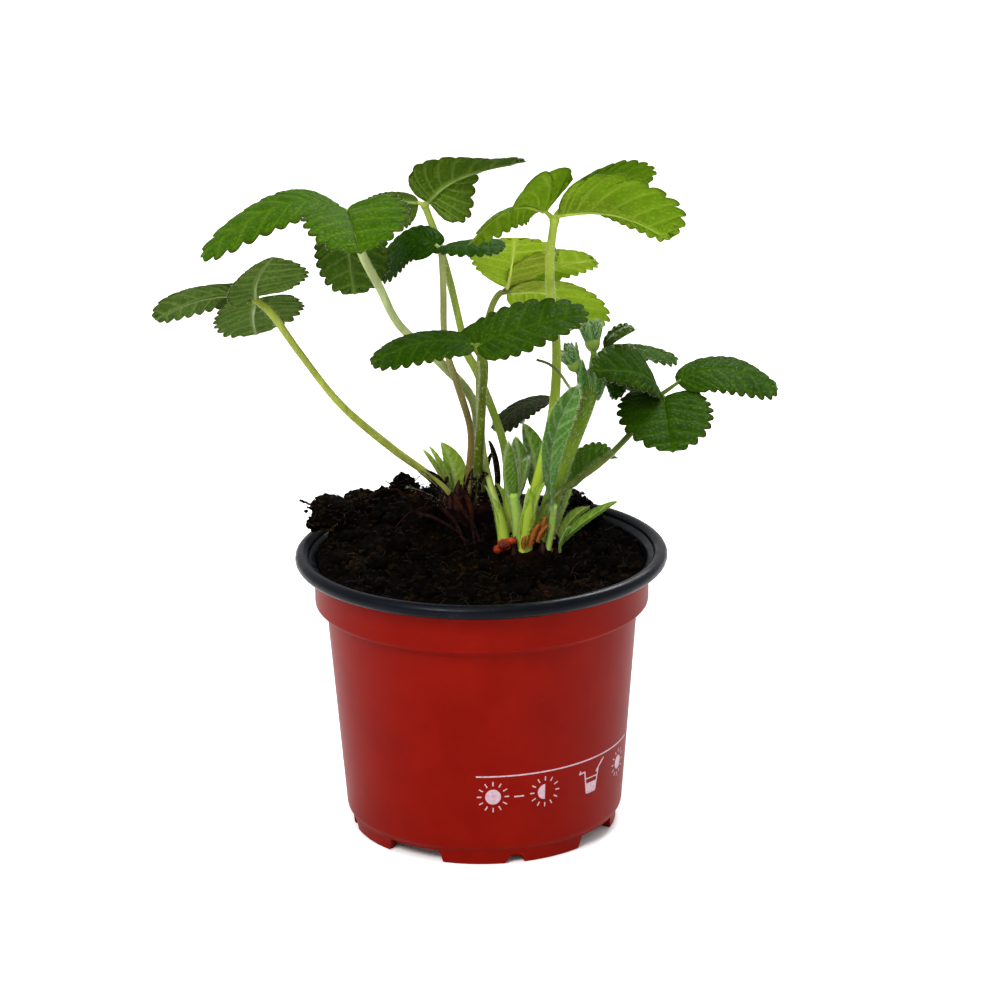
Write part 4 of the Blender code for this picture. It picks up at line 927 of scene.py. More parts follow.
# lines of the watered pot and its can, from the sign's middle: start, end and width
WATERED_LINES = (
    ((-3.2, 3.6), (-1.9, -4.2), 0.55), ((-1.9, -4.2), (2.3, -4.2), 0.55), ((2.3, -4.2), (3.6, 3.6), 0.55),
    *(((-1.9 - 0.085 * k, -4.0 + 0.5 * k), (2.3 + 0.085 * k, -4.0 + 0.5 * k), 0.55) for k in range(7)),
    ((-2.6, 0.9), (2.9, 0.9), 0.4), ((-5.6, 3.2), (-3.2, 3.6), 0.5), ((-5.6, 3.2), (-5.0, 4.3), 0.5),
    ((3.6, 3.6), (6.4, 6.0), 0.6), ((2.4, 2.2), (5.4, 5.4), 0.6),
)
INK_LIFT = 0.05
SIGN_RADIUS = 48.0            # the wall's radius that the places along it are counted on


def on_wall(along, height):
    """A point just off the pot's wall."""
    radius = BODY_FOOT_RADIUS + 0.15 + (BODY_TOP_RADIUS - BODY_FOOT_RADIUS - 0.15) * (
        (height - FOOT_HEIGHT - 1.6) / (COLLAR_FOOT_Z - 2.2 - FOOT_HEIGHT - 1.6))
    return around(along / SIGN_RADIUS - math.pi / 2, radius + INK_LIFT, height)


def ink_line(shape, start, end, width):
    """A straight printed line, split so that it follows the wall."""
    start, end = np.array(start, float), np.array(end, float)
    side = unit(np.array([start[1] - end[1], end[0] - start[0]])) * width / 2
    steps = max(1, int(np.linalg.norm(end - start)))
    points = []
    for k in range(steps + 1):
        middle = start + (end - start) * k / steps
        points += [on_wall(*(middle + side)), on_wall(*(middle - side))]
    shape.add(points, [(2 * k, 2 * k + 1, 2 * k + 3, 2 * k + 2) for k in range(steps)])


def ink_sun(shape, centre, inner, outer, radius=SUN_RADIUS, start=0, end=360, steps=30):
    """A sun, or with `start` and `end` a part of its disc, in a ring of rays from `inner` to `outer`."""
    rim = [around(math.radians(start + (end - start) * k / steps), radius)[:2] for k in range(steps + 1)]
    points = [on_wall(*centre)] + [on_wall(*(centre + p)) for p in rim]
    shape.add(points, [(0, k + 1, k + 2) for k in range(steps)])
    for i in range(RAYS):
        way = around(TURN * i / RAYS)[:2]
        ink_line(shape, centre + way * inner, centre + way * outer, RAY_WIDTH)


def make_signs():
    ink = Shape()
    ink_line(ink, *RULE, 0.5)
    ink_sun(ink, SUN, 3.8, 5.3)
    ink_line(ink, *DASH, 0.5)
    ink_sun(ink, HALF_SUN, 3.8, 5.3, start=90, end=270, steps=16)
    for start, end, width in WATERED_LINES:
        ink_line(ink, np.add(start, WATERED_POT), np.add(end, WATERED_POT), width)
    ink_sun(ink, SHADED, 3.4, 4.8, SUN_RADIUS * 0.9)
    ink.piece("care_signs", [mottled_surface("sign ink", 0.45, 0.5, 900.0, (0.3, (0.30, 0.17, 0.20)),
                                             (0.55, (0.40, 0.27, 0.32)))], "pot")


# ================================================================ peat
RING_POWER = 0.85             # sets the rings of the surface closer towards the wall
SINK_START = 47.0             # radius where the peat starts to sink towards the wall
SINK_WIDTH = 6.0
SINK_DEPTH = 1.4
LITTER_REACH = 51.0           # fibres low in the pot stay inside this radius,
LITTER_TOP = 94.0             # and those whose foot is above this height may pass it
LUMPS = 90
CLOD_LUMPS = 14
CRUMBS = 1500
CLOD_CRUMBS = 70
FIBRE_COUNT = 620
FIBRE_LENGTHS = (1.5, 5.0)
FIBRE_RADII = (0.08, 0.2)
CLOD_FIBRE_RADII = (0.1, 0.22)
DARK_SHARE = 0.76             # of the fibres, the rest are brown or moss
BROWN_SHARE = 0.12
CLOD_FIBRES = 60
PEAT_TOP_RADIUS = COLLAR_RADIUS - WALL - 0.15
PEAT_SIDE = (
    (PEAT_TOP_RADIUS, COLLAR_FOOT_Z + 2.0), (BODY_TOP_RADIUS - WALL - 0.2, COLLAR_FOOT_Z - 2.4),
    (BODY_FOOT_RADIUS - WALL - 0.3, FLOOR_TOP + 1.8), (BODY_FOOT_RADIUS - 2.6, FLOOR_TOP + 0.3),
    (0.5, FLOOR_TOP + 0.3),
)
PEAT_LOOK = ((0.0007, 0.0005, 0.0004), (0.0026, 0.0017, 0.0009))
CRUMB_LOOK = ((0.0009, 0.0006, 0.0004), (0.01, 0.006, 0.0025))
ROOT_LOOK = ((0.003, 0.0015, 0.0015), (0.018, 0.006, 0.005))
# dark and light colour of each kind of fibre
FIBRES = {
    "dark_fibres": ((0.001, 0.0007, 0.0005), (0.006, 0.0035, 0.002)),
    "brown_fibres": ((0.006, 0.003, 0.001), (0.030, 0.013, 0.004)),
    "moss_fibres": ((0.004, 0.005, 0.001), (0.020, 0.020, 0.003)),
}
# dead roots and twigs: points, and radius at the thick end
ROOTS = (
    ([(-58.8, 18, 103.4), (-55.5, 18, 101.8), (-53, 17.5, 101), (-47, 16, 101)], 0.45),
    ([(-37.5, 18, 101), (-35, 14, 106), (-30, 12, 108.5), (-25.5, 14, 107), (-24, 17, 103)], 0.35),
    ([(-22, 4, 103.5), (-15, 1, 102), (-8, 0, 98), (-4, -1, 93)], 0.7),
    ([(-14, 9, 104), (-9, 6, 100), (-6, 2, 95), (-3.5, -3, 90)], 0.9),
    ([(-9, 12, 107), (-6, 8, 103), (-2, 5, 97), (0, 1, 91)], 1.1),
    ([(-5, 10, 108), (-3, 7, 102), (-2.5, 4, 96), (-1.5, 0, 90)], 1.0),
    ([(-16, 13, 105), (-19, 8, 103), (-23, 4, 103), (-28, 0, 99)], 0.5),
    ([(34, -16, 93), (30, -20, 92.5), (28, -26, 91)], 0.3),
)


def peat_height(x, y):
    """Height of the peat's mounds, the same as the solid's."""
    z = PEAT_BASE
    for cx, cy, height, spread_x, spread_y in PEAT_MOUNDS:
        z += height * math.exp(-((x - cx) / spread_x) ** 2 - ((y - cy) / spread_y) ** 2)
    swell = noise.noise(Vector((x * 0.11, y * 0.11, SEED)))
    crumb = noise.noise(Vector((x * 0.35, y * 0.35, SEED + 5)))
    return z + 1.1 * (1.3 * swell + 0.8 * crumb)


def rough_height(x, y):
    """Height of the peat with its clods and crumbs."""
    here = Vector((x, y, 0.0))
    z = peat_height(x, y) + 1.5 * (noise.turbulence(here * 0.22, 4, False) - 0.45)
    z += 1.3 * noise.noise(here * 0.5) + 0.8 * noise.noise(here * 1.1)
    return z + 0.5 * noise.noise(here * 2.3)


def in_crown(x, y, spare):
    return any(math.hypot(x - centre[0], y - centre[1]) < radius + spare
               for centre, radius, _, _ in (CROWN_RIGHT, CROWN_LEFT))


def scatter(rng, count, reach, spare, least=0.0):
    """Random places on the peat with their numbers, `spare` mm clear of the crowns."""
    for i in range(count):
        x, y, _ = around(rng.uniform(0, TURN), reach * math.sqrt(rng.uniform(least, 1.0)))
        if not in_crown(x, y, spare):
            yield i, x, y


def upward(rng, rise):
    """A random direction, more often up than down."""
    return unit(rng.normal(0, 1, 3) + UP * rise)


def make_peat(rng):
    shape = Shape()
    points = [(0.0, 0.0, rough_height(0.0, 0.0))]
    for k in range(1, PEAT_RINGS + 1):
        radius = PEAT_TOP_RADIUS * (k / PEAT_RINGS) ** RING_POWER
        near_wall = max(0.0, (radius - SINK_START) / SINK_WIDTH)
        for i in range(PEAT_STEPS):
            x, y, _ = around(TURN * (i + 0.5 * (k % 2)) / PEAT_STEPS, radius)
            points.append((x, y, rough_height(x, y) - SINK_DEPTH * near_wall * near_wall))
    for radius, z in PEAT_SIDE:
        points += [around(TURN * i / PEAT_STEPS, radius, z) for i in range(PEAT_STEPS)]
    shape.add(points, dome_faces(PEAT_STEPS, PEAT_RINGS + len(PEAT_SIDE) - 1))
    for i, (centre, radii) in enumerate(PEAT_CLODS):
        lump(shape, centre, radii * 0.8, 4, 0.34, i + 2.0)
        for k in range(CLOD_LUMPS):
            way = upward(rng, 0.35)
            size = radii * rng.uniform(0.22, 0.42)
            lump(shape, centre + way * radii * rng.uniform(0.6, 0.85), size, 3, 0.5, i * 9.0 + k)
    for i, x, y in scatter(rng, LUMPS, 49.0, 3.0, 0.02):
        size = rng.uniform(1.2, 3.4)
        radii = (size, size * rng.uniform(0.7, 1.1), size * 0.75)
        lump(shape, (x, y, peat_height(x, y) + 0.2 * size), radii, 3, 0.5, i + 20.0)
    shape.piece("peat_fill", [earth_surface("peat", *PEAT_LOOK)], "peat", ["peat"])


def make_crumbs(rng):
    crumbs = Shape()
    for i, x, y in scatter(rng, CRUMBS, 51.5, 0.5):
        size = rng.uniform(0.3, 1.15) * (1.0 if rng.random() > 0.1 else 1.6)
        spot = (x, y, rough_height(x, y) + 0.3 * size)
        lump(crumbs, spot, (size, size * 0.8, size * 0.7), 1, 0.5, i * 0.37)
    for centre, radii in PEAT_CLODS:
        for i in range(CLOD_CRUMBS):
            way = upward(rng, 0.5)
            size = rng.uniform(0.35, 1.1)
            lump(crumbs, centre + way * radii * 1.02, (size, size * 0.8, size * 0.8), 1, 0.5, i * 0.7)
    crumbs.piece("peat_crumbs", [earth_surface("peat crumb", *CRUMB_LOOK)], "peat", smooth=False)


def fibre(shape, spot, thick, rng):
    """A curled fibre from this spot; `thick` holds the least and the largest radius."""
    length, rise, radius = rng.uniform(*FIBRE_LENGTHS), rng.uniform(0.0, 0.9), rng.uniform(*thick)
    way = around(rng.uniform(0, TURN), 1.0, rise)
    start = spot - 0.5 * UP
    curl = rng.normal(0, 0.35, 3) * length
    curl[2] = abs(curl[2]) * 0.4
    knees = [start + way * length * 0.4 + curl * 0.5, start + way * length * 0.8 + curl * 0.2]
    path = smooth_path([start, *knees, start + way * length - UP * rise * length * 0.5], 3)
    if spot[2] >= LITTER_TOP or np.hypot(path[:, 0], path[:, 1]).max() <= LITTER_REACH:
        rod(shape, path, np.linspace(radius, radius * 0.35, len(path)), 4, rng.random())


def make_fibres(rng):
    """Fibres and bits of moss on the peat and its clods."""
    dark, brown, moss = Shape(), Shape(), Shape()
    for _, x, y in scatter(rng, FIBRE_COUNT, 50.0, 1.0):
        kind = rng.random()
        target = dark if kind < DARK_SHARE else brown if kind < DARK_SHARE + BROWN_SHARE else moss
        fibre(target, np.array([x, y, rough_height(x, y)]), FIBRE_RADII, rng)
    for centre, radii in PEAT_CLODS:
        for i in range(CLOD_FIBRES):
            fibre(dark if i % 3 else brown, centre + upward(rng, 0.4) * radii, CLOD_FIBRE_RADII, rng)
    for shape, (name, (low, high)) in zip((dark, brown, moss), FIBRES.items()):
        shape.piece(name, [mottled_surface(name, 0.8, 0.2, 500.0, (0.3, low), (0.7, high))], "peat")


def make_roots(rng):
    roots = Shape()
    for points, radius in ROOTS:
        path = smooth_path(points, 5)
        path = path + rng.normal(0, 0.12, path.shape)
        rod(roots, path, np.linspace(radius, radius * 0.4, len(path)), 8, 0.5)
    roots.piece("dead_roots", [earth_surface("dead root", *ROOT_LOOK, 0.75)], "peat")


# ================================================================ leaves and stalks
# deep, light and vein colours of one face, the colour of the light that comes through, and its share
TOP_GREEN = ((0.026, 0.078, 0.001), (0.064, 0.138, 0.002), (0.074, 0.15, 0.004), (0.11, 0.24, 0.003), 0.18)
DARK_TOP = ((0.01, 0.042, 0.0006), (0.026, 0.084, 0.001), (0.03, 0.088, 0.002), (0.04, 0.15, 0.002), 0.15)
FRONT_TOP = ((0.013, 0.042, 0.0006), (0.034, 0.086, 0.0012), (0.038, 0.092, 0.002), (0.06, 0.17, 0.003),
             0.15)
# leaf_low's top: a grey-green darkened with painted shade, for the shadow this low leaf lies in at the back
SHADED_LOW_TOP = ((0.01, 0.014, 0.005), (0.028, 0.038, 0.012), (0.036, 0.046, 0.018), (0.05, 0.08, 0.01), 0.12)
UNDER_GREEN = ((0.042, 0.092, 0.008), (0.086, 0.16, 0.016), (0.13, 0.205, 0.034), (0.13, 0.26, 0.01), 0.3)
SOFT_UNDER = ((0.058, 0.11, 0.014), (0.115, 0.19, 0.032), (0.165, 0.24, 0.055), (0.15, 0.28, 0.02), 0.3)
# leaf_top's underside: the underside green made lighter, painted light so that this face, which lies in
# shade, looks lit
PAINTED_LIGHT_UNDER = ((0.072, 0.13, 0.009), (0.125, 0.215, 0.015), (0.2, 0.29, 0.055), (0.18, 0.33, 0.012), 0.35)
LIT_UNDER = ((0.14, 0.235, 0.009), (0.23, 0.345, 0.018), (0.28, 0.38, 0.036), (0.3, 0.5, 0.008), 0.45)
LIT_TOP = ((0.036, 0.1, 0.003), (0.075, 0.17, 0.005), (0.09, 0.185, 0.009), (0.27, 0.48, 0.007), 0.35)
# leaf_pale's underside: paler as an underside is, and brightened further with painted light for the light
# that shines through it from behind
PALE_BACKLIT_UNDER = ((0.33, 0.43, 0.03), (0.48, 0.6, 0.05), (0.56, 0.66, 0.1), (0.66, 0.84, 0.03), 0.45)
BUD_GREEN = ((0.026, 0.11, 0.012), (0.075, 0.2, 0.035), (0.17, 0.32, 0.09), (0.12, 0.3, 0.03), 0.25)
YOUNG_GREEN = ((0.06, 0.15, 0.008), (0.14, 0.26, 0.03), (0.26, 0.38, 0.09), (0.22, 0.42, 0.03), 0.35)
SILKY_GREEN = ((0.06, 0.16, 0.02), (0.13, 0.27, 0.06), (0.3, 0.44, 0.18), (0.2, 0.42, 0.06), 0.35)
PALE_BRACT = ((0.24, 0.36, 0.04), (0.36, 0.48, 0.08), (0.5, 0.6, 0.2), (0.44, 0.6, 0.08), 0.35)
FRESH_BRACT = ((0.13, 0.26, 0.02), (0.22, 0.38, 0.04), (0.36, 0.5, 0.12), (0.32, 0.52, 0.05), 0.35)
DRY_BRACT = ((0.006, 0.003, 0.003), (0.026, 0.01, 0.009), (0.05, 0.024, 0.02), (0.04, 0.015, 0.012), 0.12)
PALE_SHEATH = ((0.18, 0.3, 0.014), (0.28, 0.42, 0.035), (0.38, 0.5, 0.11), (0.36, 0.52, 0.03), 0.35)
DRY_SHEATH = ((0.03, 0.008, 0.003), (0.24, 0.06, 0.008), (0.3, 0.1, 0.02), (0.4, 0.12, 0.01), 0.15)
BROWN_SHEATH = ((0.004, 0.002, 0.002), (0.022, 0.008, 0.006), (0.04, 0.018, 0.014), (0.03, 0.01, 0.008), 0.1)

LEAF_LOOKS = {
    "leaf_left": (TOP_GREEN, SOFT_UNDER),
    "leaf_upper_left": (TOP_GREEN, UNDER_GREEN),
    "leaf_top": (TOP_GREEN, PAINTED_LIGHT_UNDER),
    "leaf_dark": (DARK_TOP, UNDER_GREEN),
    "leaf_front": (FRONT_TOP, UNDER_GREEN),
    "leaf_pale": (LIT_TOP, PALE_BACKLIT_UNDER),
    "leaf_upper_right": (LIT_TOP, LIT_UNDER),
    "leaf_right": (FRONT_TOP, UNDER_GREEN),
    "leaf_low": (SHADED_LOW_TOP, UNDER_GREEN),
}
# each stalk's colour at its foot and at its top
STALK_LOOKS = {
    "leaf_left": ((0.38, 0.41, 0.08), (0.21, 0.26, 0.02)),
    "leaf_upper_left": ((0.10, 0.14, 0.005), (0.52, 0.60, 0.26)),
    "leaf_top": ((0.18, 0.28, 0.02), (0.30, 0.36, 0.06)),
    "leaf_dark": ((0.20, 0.09, 0.02), (0.34, 0.39, 0.12)),
    "leaf_front": ((0.050, 0.075, 0.003), (0.10, 0.14, 0.007)),
    "leaf_pale": ((0.38, 0.48, 0.10), (0.18, 0.20, 0.04)),
    "leaf_upper_right": ((0.32, 0.45, 0.02), (0.27, 0.35, 0.035)),
    "leaf_right": ((0.10, 0.11, 0.02), (0.09, 0.15, 0.012)),
    "leaf_low": ((0.24, 0.32, 0.05), (0.14, 0.20, 0.03)),
}
RIB_POINTS = 18
RIB_RADII = (0.55, 0.12)
RIB_ENDS = (0.02, 0.93)
SHOOT_STALK_LOOK = ((0.19, 0.29, 0.012), (0.1, 0.19, 0.008))
YOUNG_STALK_LOOK = ((0.38, 0.5, 0.1), (0.26, 0.42, 0.06))
SHOOT_SWELL = 1.3             # the shoot with its coat is this much thicker than its solid
SHOOT_TOP = np.array([0.95, 0.85, 0.65, 0.3])
BUD_CORE_LOOK = ((0.16, 0.26, 0.03), (0.24, 0.36, 0.06))
STALK_FOOT_LOOK = ((0.36, 0.46, 0.06), (0.26, 0.38, 0.02))
RUNNER_LOOK = ((0.07, 0.06, 0.02), (0.24, 0.32, 0.06))
# young leaves: looks of both faces, hairs, and teeth on one side, if any
YOUNG_LOOKS = {
    "shoot_leaf_folded": (FRONT_TOP, UNDER_GREEN, 150, YOUNG_TEETH),
    # shoot_leaf_dark has the dark top green on both faces: painted shade for the shadow it lies in under
    # leaf_right's leaflet
    "shoot_leaf_dark": (DARK_TOP, DARK_TOP, 150, YOUNG_TEETH),
    "young_leaf_middle": (YOUNG_GREEN, YOUNG_GREEN, 310, 0),
    "young_leaf_back": (YOUNG_GREEN, YOUNG_GREEN, 310, 0),
    "young_leaf_right": (YOUNG_GREEN, YOUNG_GREEN, 310, FINE_TEETH),
    "hairy_sheath": (SILKY_GREEN, SILKY_GREEN, 750, 0),
}
BRACT_LOOKS = {"stipules_left": PALE_BRACT, "bract_long": FRESH_BRACT, "bract_wide": PALE_BRACT,
               "bract_low": FRESH_BRACT, "dry_stipule": DRY_BRACT, "dry_bract": DRY_BRACT}
# the rings of a bud's sepals: how many, how far they lean out, their length and half width
SEPAL_RINGS = ((6, 0.6, 2.6, 1.5), (5, 0.22, 2.9, 1.9))
HAIR = hair_surface()


def stalk_run(points, radii, per_span, power=1.0):
    """A stalk's path, the share of it at each point, and its radius there."""
    path = smooth_path(points, per_span)
    part = np.linspace(0, 1, len(path))
    return path, part, radii[0] + (radii[1] - radii[0]) * part ** power


def leaflet_stalk(stem, spec, hub, thick):
    """The short stalk from a leaf's hub into a leaflet, and the midrib under the blade."""
    path = smooth_path([hub, hub + (spec["base"] - hub) * 0.6, midrib(spec, 0.04)], 4)
    rod(stem, path, np.linspace(thick, RIB_RADII[0], len(path)), 10, 1.0)
    along, radius = np.linspace(*RIB_ENDS, RIB_POINTS), np.linspace(*RIB_RADII, RIB_POINTS)
    _, up = blade_points(spec, along, np.full(RIB_POINTS, 1e-6))
    groove = MIDRIB_GROOVE * np.mean(spec["half"]) / RELIEF_HALF * np.clip(along * 8.0, 0.3, 1.0)
    rod(stem, midrib(spec, along) - up * (groove + 0.1 + 0.7 * radius)[:, None], radius, 8, 1.0, slot=2)


def make_leaf(name, leaf, rng):
    """One leaf: the sheet of its leaflets, and its stalk with hub, hairs and small leaflet stalks."""
    sheet, stem = Shape(), Shape()
    points, (low, high), leaflets = leaf
    hub = np.array(points[-1], float)
    path, part, radius = stalk_run(points, (low, high), 8, 0.6)
    radius = radius * (1 + 0.05 * np.sin(part * 17.0)) * (1 + 0.12 * np.exp(-((part - 1) / 0.02) ** 2))
    rod(stem, path, radius, 14, part)
    lump(stem, hub, (high * 1.25,) * 3, 2, 0.12, len(name), 1.0)
    for i, spec in enumerate(leaflets):
        leaflet_stalk(stem, spec, hub, high * 0.8)
        edges = add_leaflet(sheet, spec, len(name) + i * 3.0, TEETH, True, quilt=0.5, wave=0.6)
        blade_fur(stem, edges, rng, margin=150, face=60, length=0.75, radius=0.022)
    stalk_fur(stem, path, radius, rng, spots=len(path) * 30, first=3, spread=1.0, count=420, length=1.25,
              thick=0.03)
    looks = LEAF_LOOKS[name]
    blade_piece(sheet, name + "_leaflets", name, looks, name + "_blades", [name + "_blades"], BLADE)
    vein = looks[1][2]
    rib = stalk_surface(name + " midrib", vein, vein)
    stem.piece(name + "_petiole", [stalk_surface(name + " stalk", *STALK_LOOKS[name]), HAIR, rib],
               name + "_stalk", [name + "_stalk"])


def make_shoot(rng):
    """The thick hairy shoot with the small blades at its top and the short stalks of its buds."""
    stem, sheet = Shape(), Shape()
    path, part, radius = stalk_run(*SHOOT, 8, 0.6)
    radius = radius * SHOOT_SWELL * (1 + 0.06 * np.sin(part * 11.0))
    radius[-len(SHOOT_TOP):] = radius[-len(SHOOT_TOP):] * SHOOT_TOP
    rod(stem, path, radius, 18, part)
    stalk_fur(stem, path, radius, rng, spots=3000, first=2, spread=0.8, count=1100, length=1.7, thick=0.028,
              out=0.8, lean=0.9)
    for foot, _, _ in BUDS.values():
        rod(stem, smooth_path([path[-6], (path[-3] + np.array(foot)) / 2, foot], 4), 1.15, 10, 1.0)
    for base, middle, tip, face, half in SHOOT_STIPULES:
        spec = pointed(base, middle, tip, face, half, fold=34, widest=0.4)
        edges = add_leaflet(sheet, spec, half + tip[0], YOUNG_TEETH)
        blade_fur(stem, edges, rng, margin=90, face=120, length=1.2, radius=0.026)
    stem.piece("shoot_stem", [stalk_surface("shoot stalk", *SHOOT_STALK_LOOK), HAIR], "shoot_stalk",
               ["shoot_stalk"])
    blade_piece(sheet, "shoot_stipules", "shoot stipule", (BUD_GREEN, BUD_GREEN), "shoot_stalk")


def make_young(name, leaf, rng):
    """A young leaf, still folded and silky, with its stalk."""
    sheet, stem = Shape(), Shape()
    points, radii, leaflets = leaf
    top, under, hairs, teeth = YOUNG_LOOKS[name]
    path, part, radius = stalk_run(points, radii, 6)
    rod(stem, path, radius, 12, part)
    hub = path[-1]
    for i, spec in enumerate(leaflets):
        rod(stem, [hub, (hub + spec["base"]) / 2, midrib(spec, 0.06)], [radii[1] * 0.8, 0.6, 0.4], 8, 1.0)
        edges = add_leaflet(sheet, spec, len(name) + i * 2.0, teeth or FINE_TEETH, bool(teeth), quilt=0.6)
        blade_fur(stem, edges, rng, margin=160, face=hairs, length=1.5, radius=0.026)
    stalk_fur(stem, path, radius, rng, spots=900, first=1, spread=0.6, count=260, length=1.4, thick=0.03,
              out=0.7, lean=1.0)
    blade_piece(sheet, name + "_leaflets", name, (top, under), name, [name], BLADE)
    stem.piece(name + "_petiole", [stalk_surface(name + " stalk", *YOUNG_STALK_LOOK), HAIR], name)


def make_bud(name, foot, tip, size, rng):
    """A flower bud: pointed hairy sepals in two rings around a pale core."""
    foot, tip = np.array(foot, float), np.array(tip, float)
    axis = unit(tip - foot)
    side = unit(np.cross(axis, np.array([0.0, 1.0, 0.3])))
    over = np.cross(axis, side)
    centre = foot + (tip - foot) * 0.5
    body, green = Shape(), Shape()
    rod(body, smooth_path([foot, (foot + centre) / 2, centre], 4), 1.1, 10, 0.3)
    lump(body, centre, (size * 0.72, size * 0.72, size * 0.95), 3, 0.1, len(name), 0.6)
    for ring, (count, lean, length, half) in enumerate(SEPAL_RINGS):
        for i in range(count):
            angle = TURN * (i + 0.5 * ring) / count + 0.4
            out = side * math.cos(angle) + over * math.sin(angle)
            start = centre - axis * size * 0.55 + out * size * 0.35
            middle = start + axis * size * length * 0.45 + out * size * (0.25 + lean * 0.5)
            end = start + axis * size * length * 0.85 + out * size * (0.15 + lean * 1.1)
            spec = pointed(start, middle, end, -out + axis * 0.3, half, fold=22, widest=0.34, wedge=0.7)
            edges = add_leaflet(green, spec, i, SHEATH_TEETH, quilt=0.25, wave=0.3)
            blade_fur(body, edges, rng, margin=50, face=60, length=1.2, radius=0.026)
    blade_piece(green, name + "_sepals", name, (BUD_GREEN, BUD_GREEN), name, [name])
    body.piece(name + "_core", [stalk_surface(name + " core", *BUD_CORE_LOOK), HAIR], name)


def make_bract(name, blades, rng):
    sheet, down = Shape(), Shape()
    for i, spec in enumerate(blades):
        edges = add_leaflet(sheet, spec, i + len(name), YOUNG_TEETH)
        blade_fur(down, edges, rng, margin=60, face=60, length=0.9, radius=0.026, slot=0)
    look = BRACT_LOOKS[name]
    blade_piece(sheet, name + "_blades", name, (look, look), name, [name], 0.36)
    down.piece(name + "_hairs", [HAIR], name)


def make_runner():
    path, part, radius = stalk_run(*YOUNG_RUNNER, 6)
    shape = Shape()
    rod(shape, path, radius, 10, part)
    shape.piece("young_runner_stem", [stalk_surface("young runner", *RUNNER_LOOK)], "young_runner",
                ["young_runner"])


# ================================================================ crowns
CROWN_LOOKS = {
    "crown_right": ((0.0010, 0.0007, 0.0005), (0.008, 0.003, 0.0015)),
    "crown_left": ((0.0015, 0.0008, 0.0008), (0.010, 0.004, 0.0035)),
}
# each wrapped stalk: the width and height of its sheath, and its kind, which tells its crown
WRAPPED = (
    ("leaf_upper_right", 2.4, 24.0, "pale"), ("leaf_pale", 1.7, 17.0, "pale"),
    ("leaf_top", 1.8, 18.0, "pale"), ("leaf_right", 1.6, 15.0, "pale"), ("leaf_low", 1.4, 14.0, "pale"),
    ("leaf_left", 1.8, 11.0, "brown"), ("leaf_upper_left", 2.0, 15.0, "brown"),
    ("leaf_dark", 1.7, 14.0, "brown"), ("leaf_front", 2.0, 15.0, "brown"),
)
EAR_TURNS = (-1.1, 0.8)
SCALES = 26
RIGHT_SCALES = 8              # how many of them stand at the right crown
# the dry sheath at the front: base, tip and half width of its rags
RAGS = (
    ((15.5, -10.5, 95.5), (19, -9.5, 103.5), 1.8), ((17.8, -9.8, 97), (22, -8, 102.5), 1.6),
    ((13.5, -11, 95), (14.6, -10.6, 99.5), 1.2), ((19.5, -8.6, 98), (21, -6.5, 105), 1.5),
)
SHEATH_LOOKS = (("pale", PALE_SHEATH, "stipules_left"), ("dry", DRY_SHEATH, "dry_bract"),
                ("brown", BROWN_SHEATH, "dry_stipule"))
RED_BUD = (
    ((7.4, -9.6, 96.2), (2.6, 2.2, 2.3), 1.0), ((9.8, -9.9, 97.4), (1.8, 1.4, 1.6), 2.0),
    ((5.2, -9.0, 94.6), (1.6, 1.5, 1.6), 3.0),
)
RED_BUD_STOPS = ((0.36, (0.03, 0.003, 0.002)), (0.52, (0.24, 0.022, 0.002)), (0.72, (0.5, 0.1, 0.01)))


def make_crown(name, crown):
    """Old growth: a rough dome with a straight side."""
    (x, y), radius, top, foot = crown
    points = [(x, y, top - 1.2)]
    for k in range(1, CROWN_ROWS + 1):
        a = math.radians(90.0 * k / CROWN_ROWS)
        z = top - 0.55 * radius + 0.5 * radius * math.cos(a)
        for i in range(CROWN_STEPS):
            spot = around(TURN * i / CROWN_STEPS, radius * 0.97 * math.sin(a), z) + (x, y, 0.0)
            swell = noise.noise(Vector(spot) * 0.45) + 0.5 * noise.noise(Vector(spot) * 1.2)
            points.append(spot + UP * swell * math.cos(a))
    for i in range(CROWN_STEPS):
        points.append(around(TURN * i / CROWN_STEPS, radius * 0.95, foot + 2.0) + (x, y, 0.0))
    shape = Shape()
    shape.add(points, dome_faces(CROWN_STEPS, CROWN_ROWS))
    shape.piece(name + "_mass", [earth_surface(name, *CROWN_LOOKS[name])], name, [name])


def wrap_stalk(sheets, feet, down, rng, name, wide, tall, kind):
    """The broad foot that wraps a stalk above its crown, with two pointed ears."""
    points, (low, _), _ = LEAVES[name]
    path = smooth_path(points, 8)
    centre = np.array(CROWN_RIGHT[0] if kind == "pale" else CROWN_LEFT[0])
    heights = [path[0][2] + 1.5 + tall * share for share in (0.0, 0.3, 0.6, 0.85, 1.0)]
    at = [np.array([np.interp(z, path[:, 2], path[:, k]) for k in range(3)]) for z in heights]
    if kind == "pale":
        part = np.linspace(0, 1, 17)
        thick = np.interp(part, [0, 0.3, 0.7, 1], [low + 1.0, low + 0.8, low + 0.35, low * 0.9])
        rod(feet, smooth_path([at[0] - UP * 2.0, *at[:4]], 4), thick, 14, part)
    outward = unit(np.append(at[0][:2] - centre, 0.0) + 1e-6)
    for turn in EAR_TURNS:
        c, s = math.cos(turn), math.sin(turn)
        way = np.array([outward[0] * c - outward[1] * s, outward[0] * s + outward[1] * c, 0.0])
        spec = pointed(at[0] + way * low - UP, at[2] + way * (wide * 0.9),
                       at[4] + way * (wide + rng.uniform(0.2, 2.4)) + UP * rng.uniform(-2, 3), -way,
                       wide * 1.5, fold=42, widest=0.34, blunt=1.7)
        edges = add_leaflet(sheets[kind], spec, turn + tall, SHEATH_TEETH, quilt=0.2, wave=0.6)
        if kind == "pale":
            blade_fur(down, edges, rng, margin=60, face=50, length=0.9, radius=0.024, slot=0)


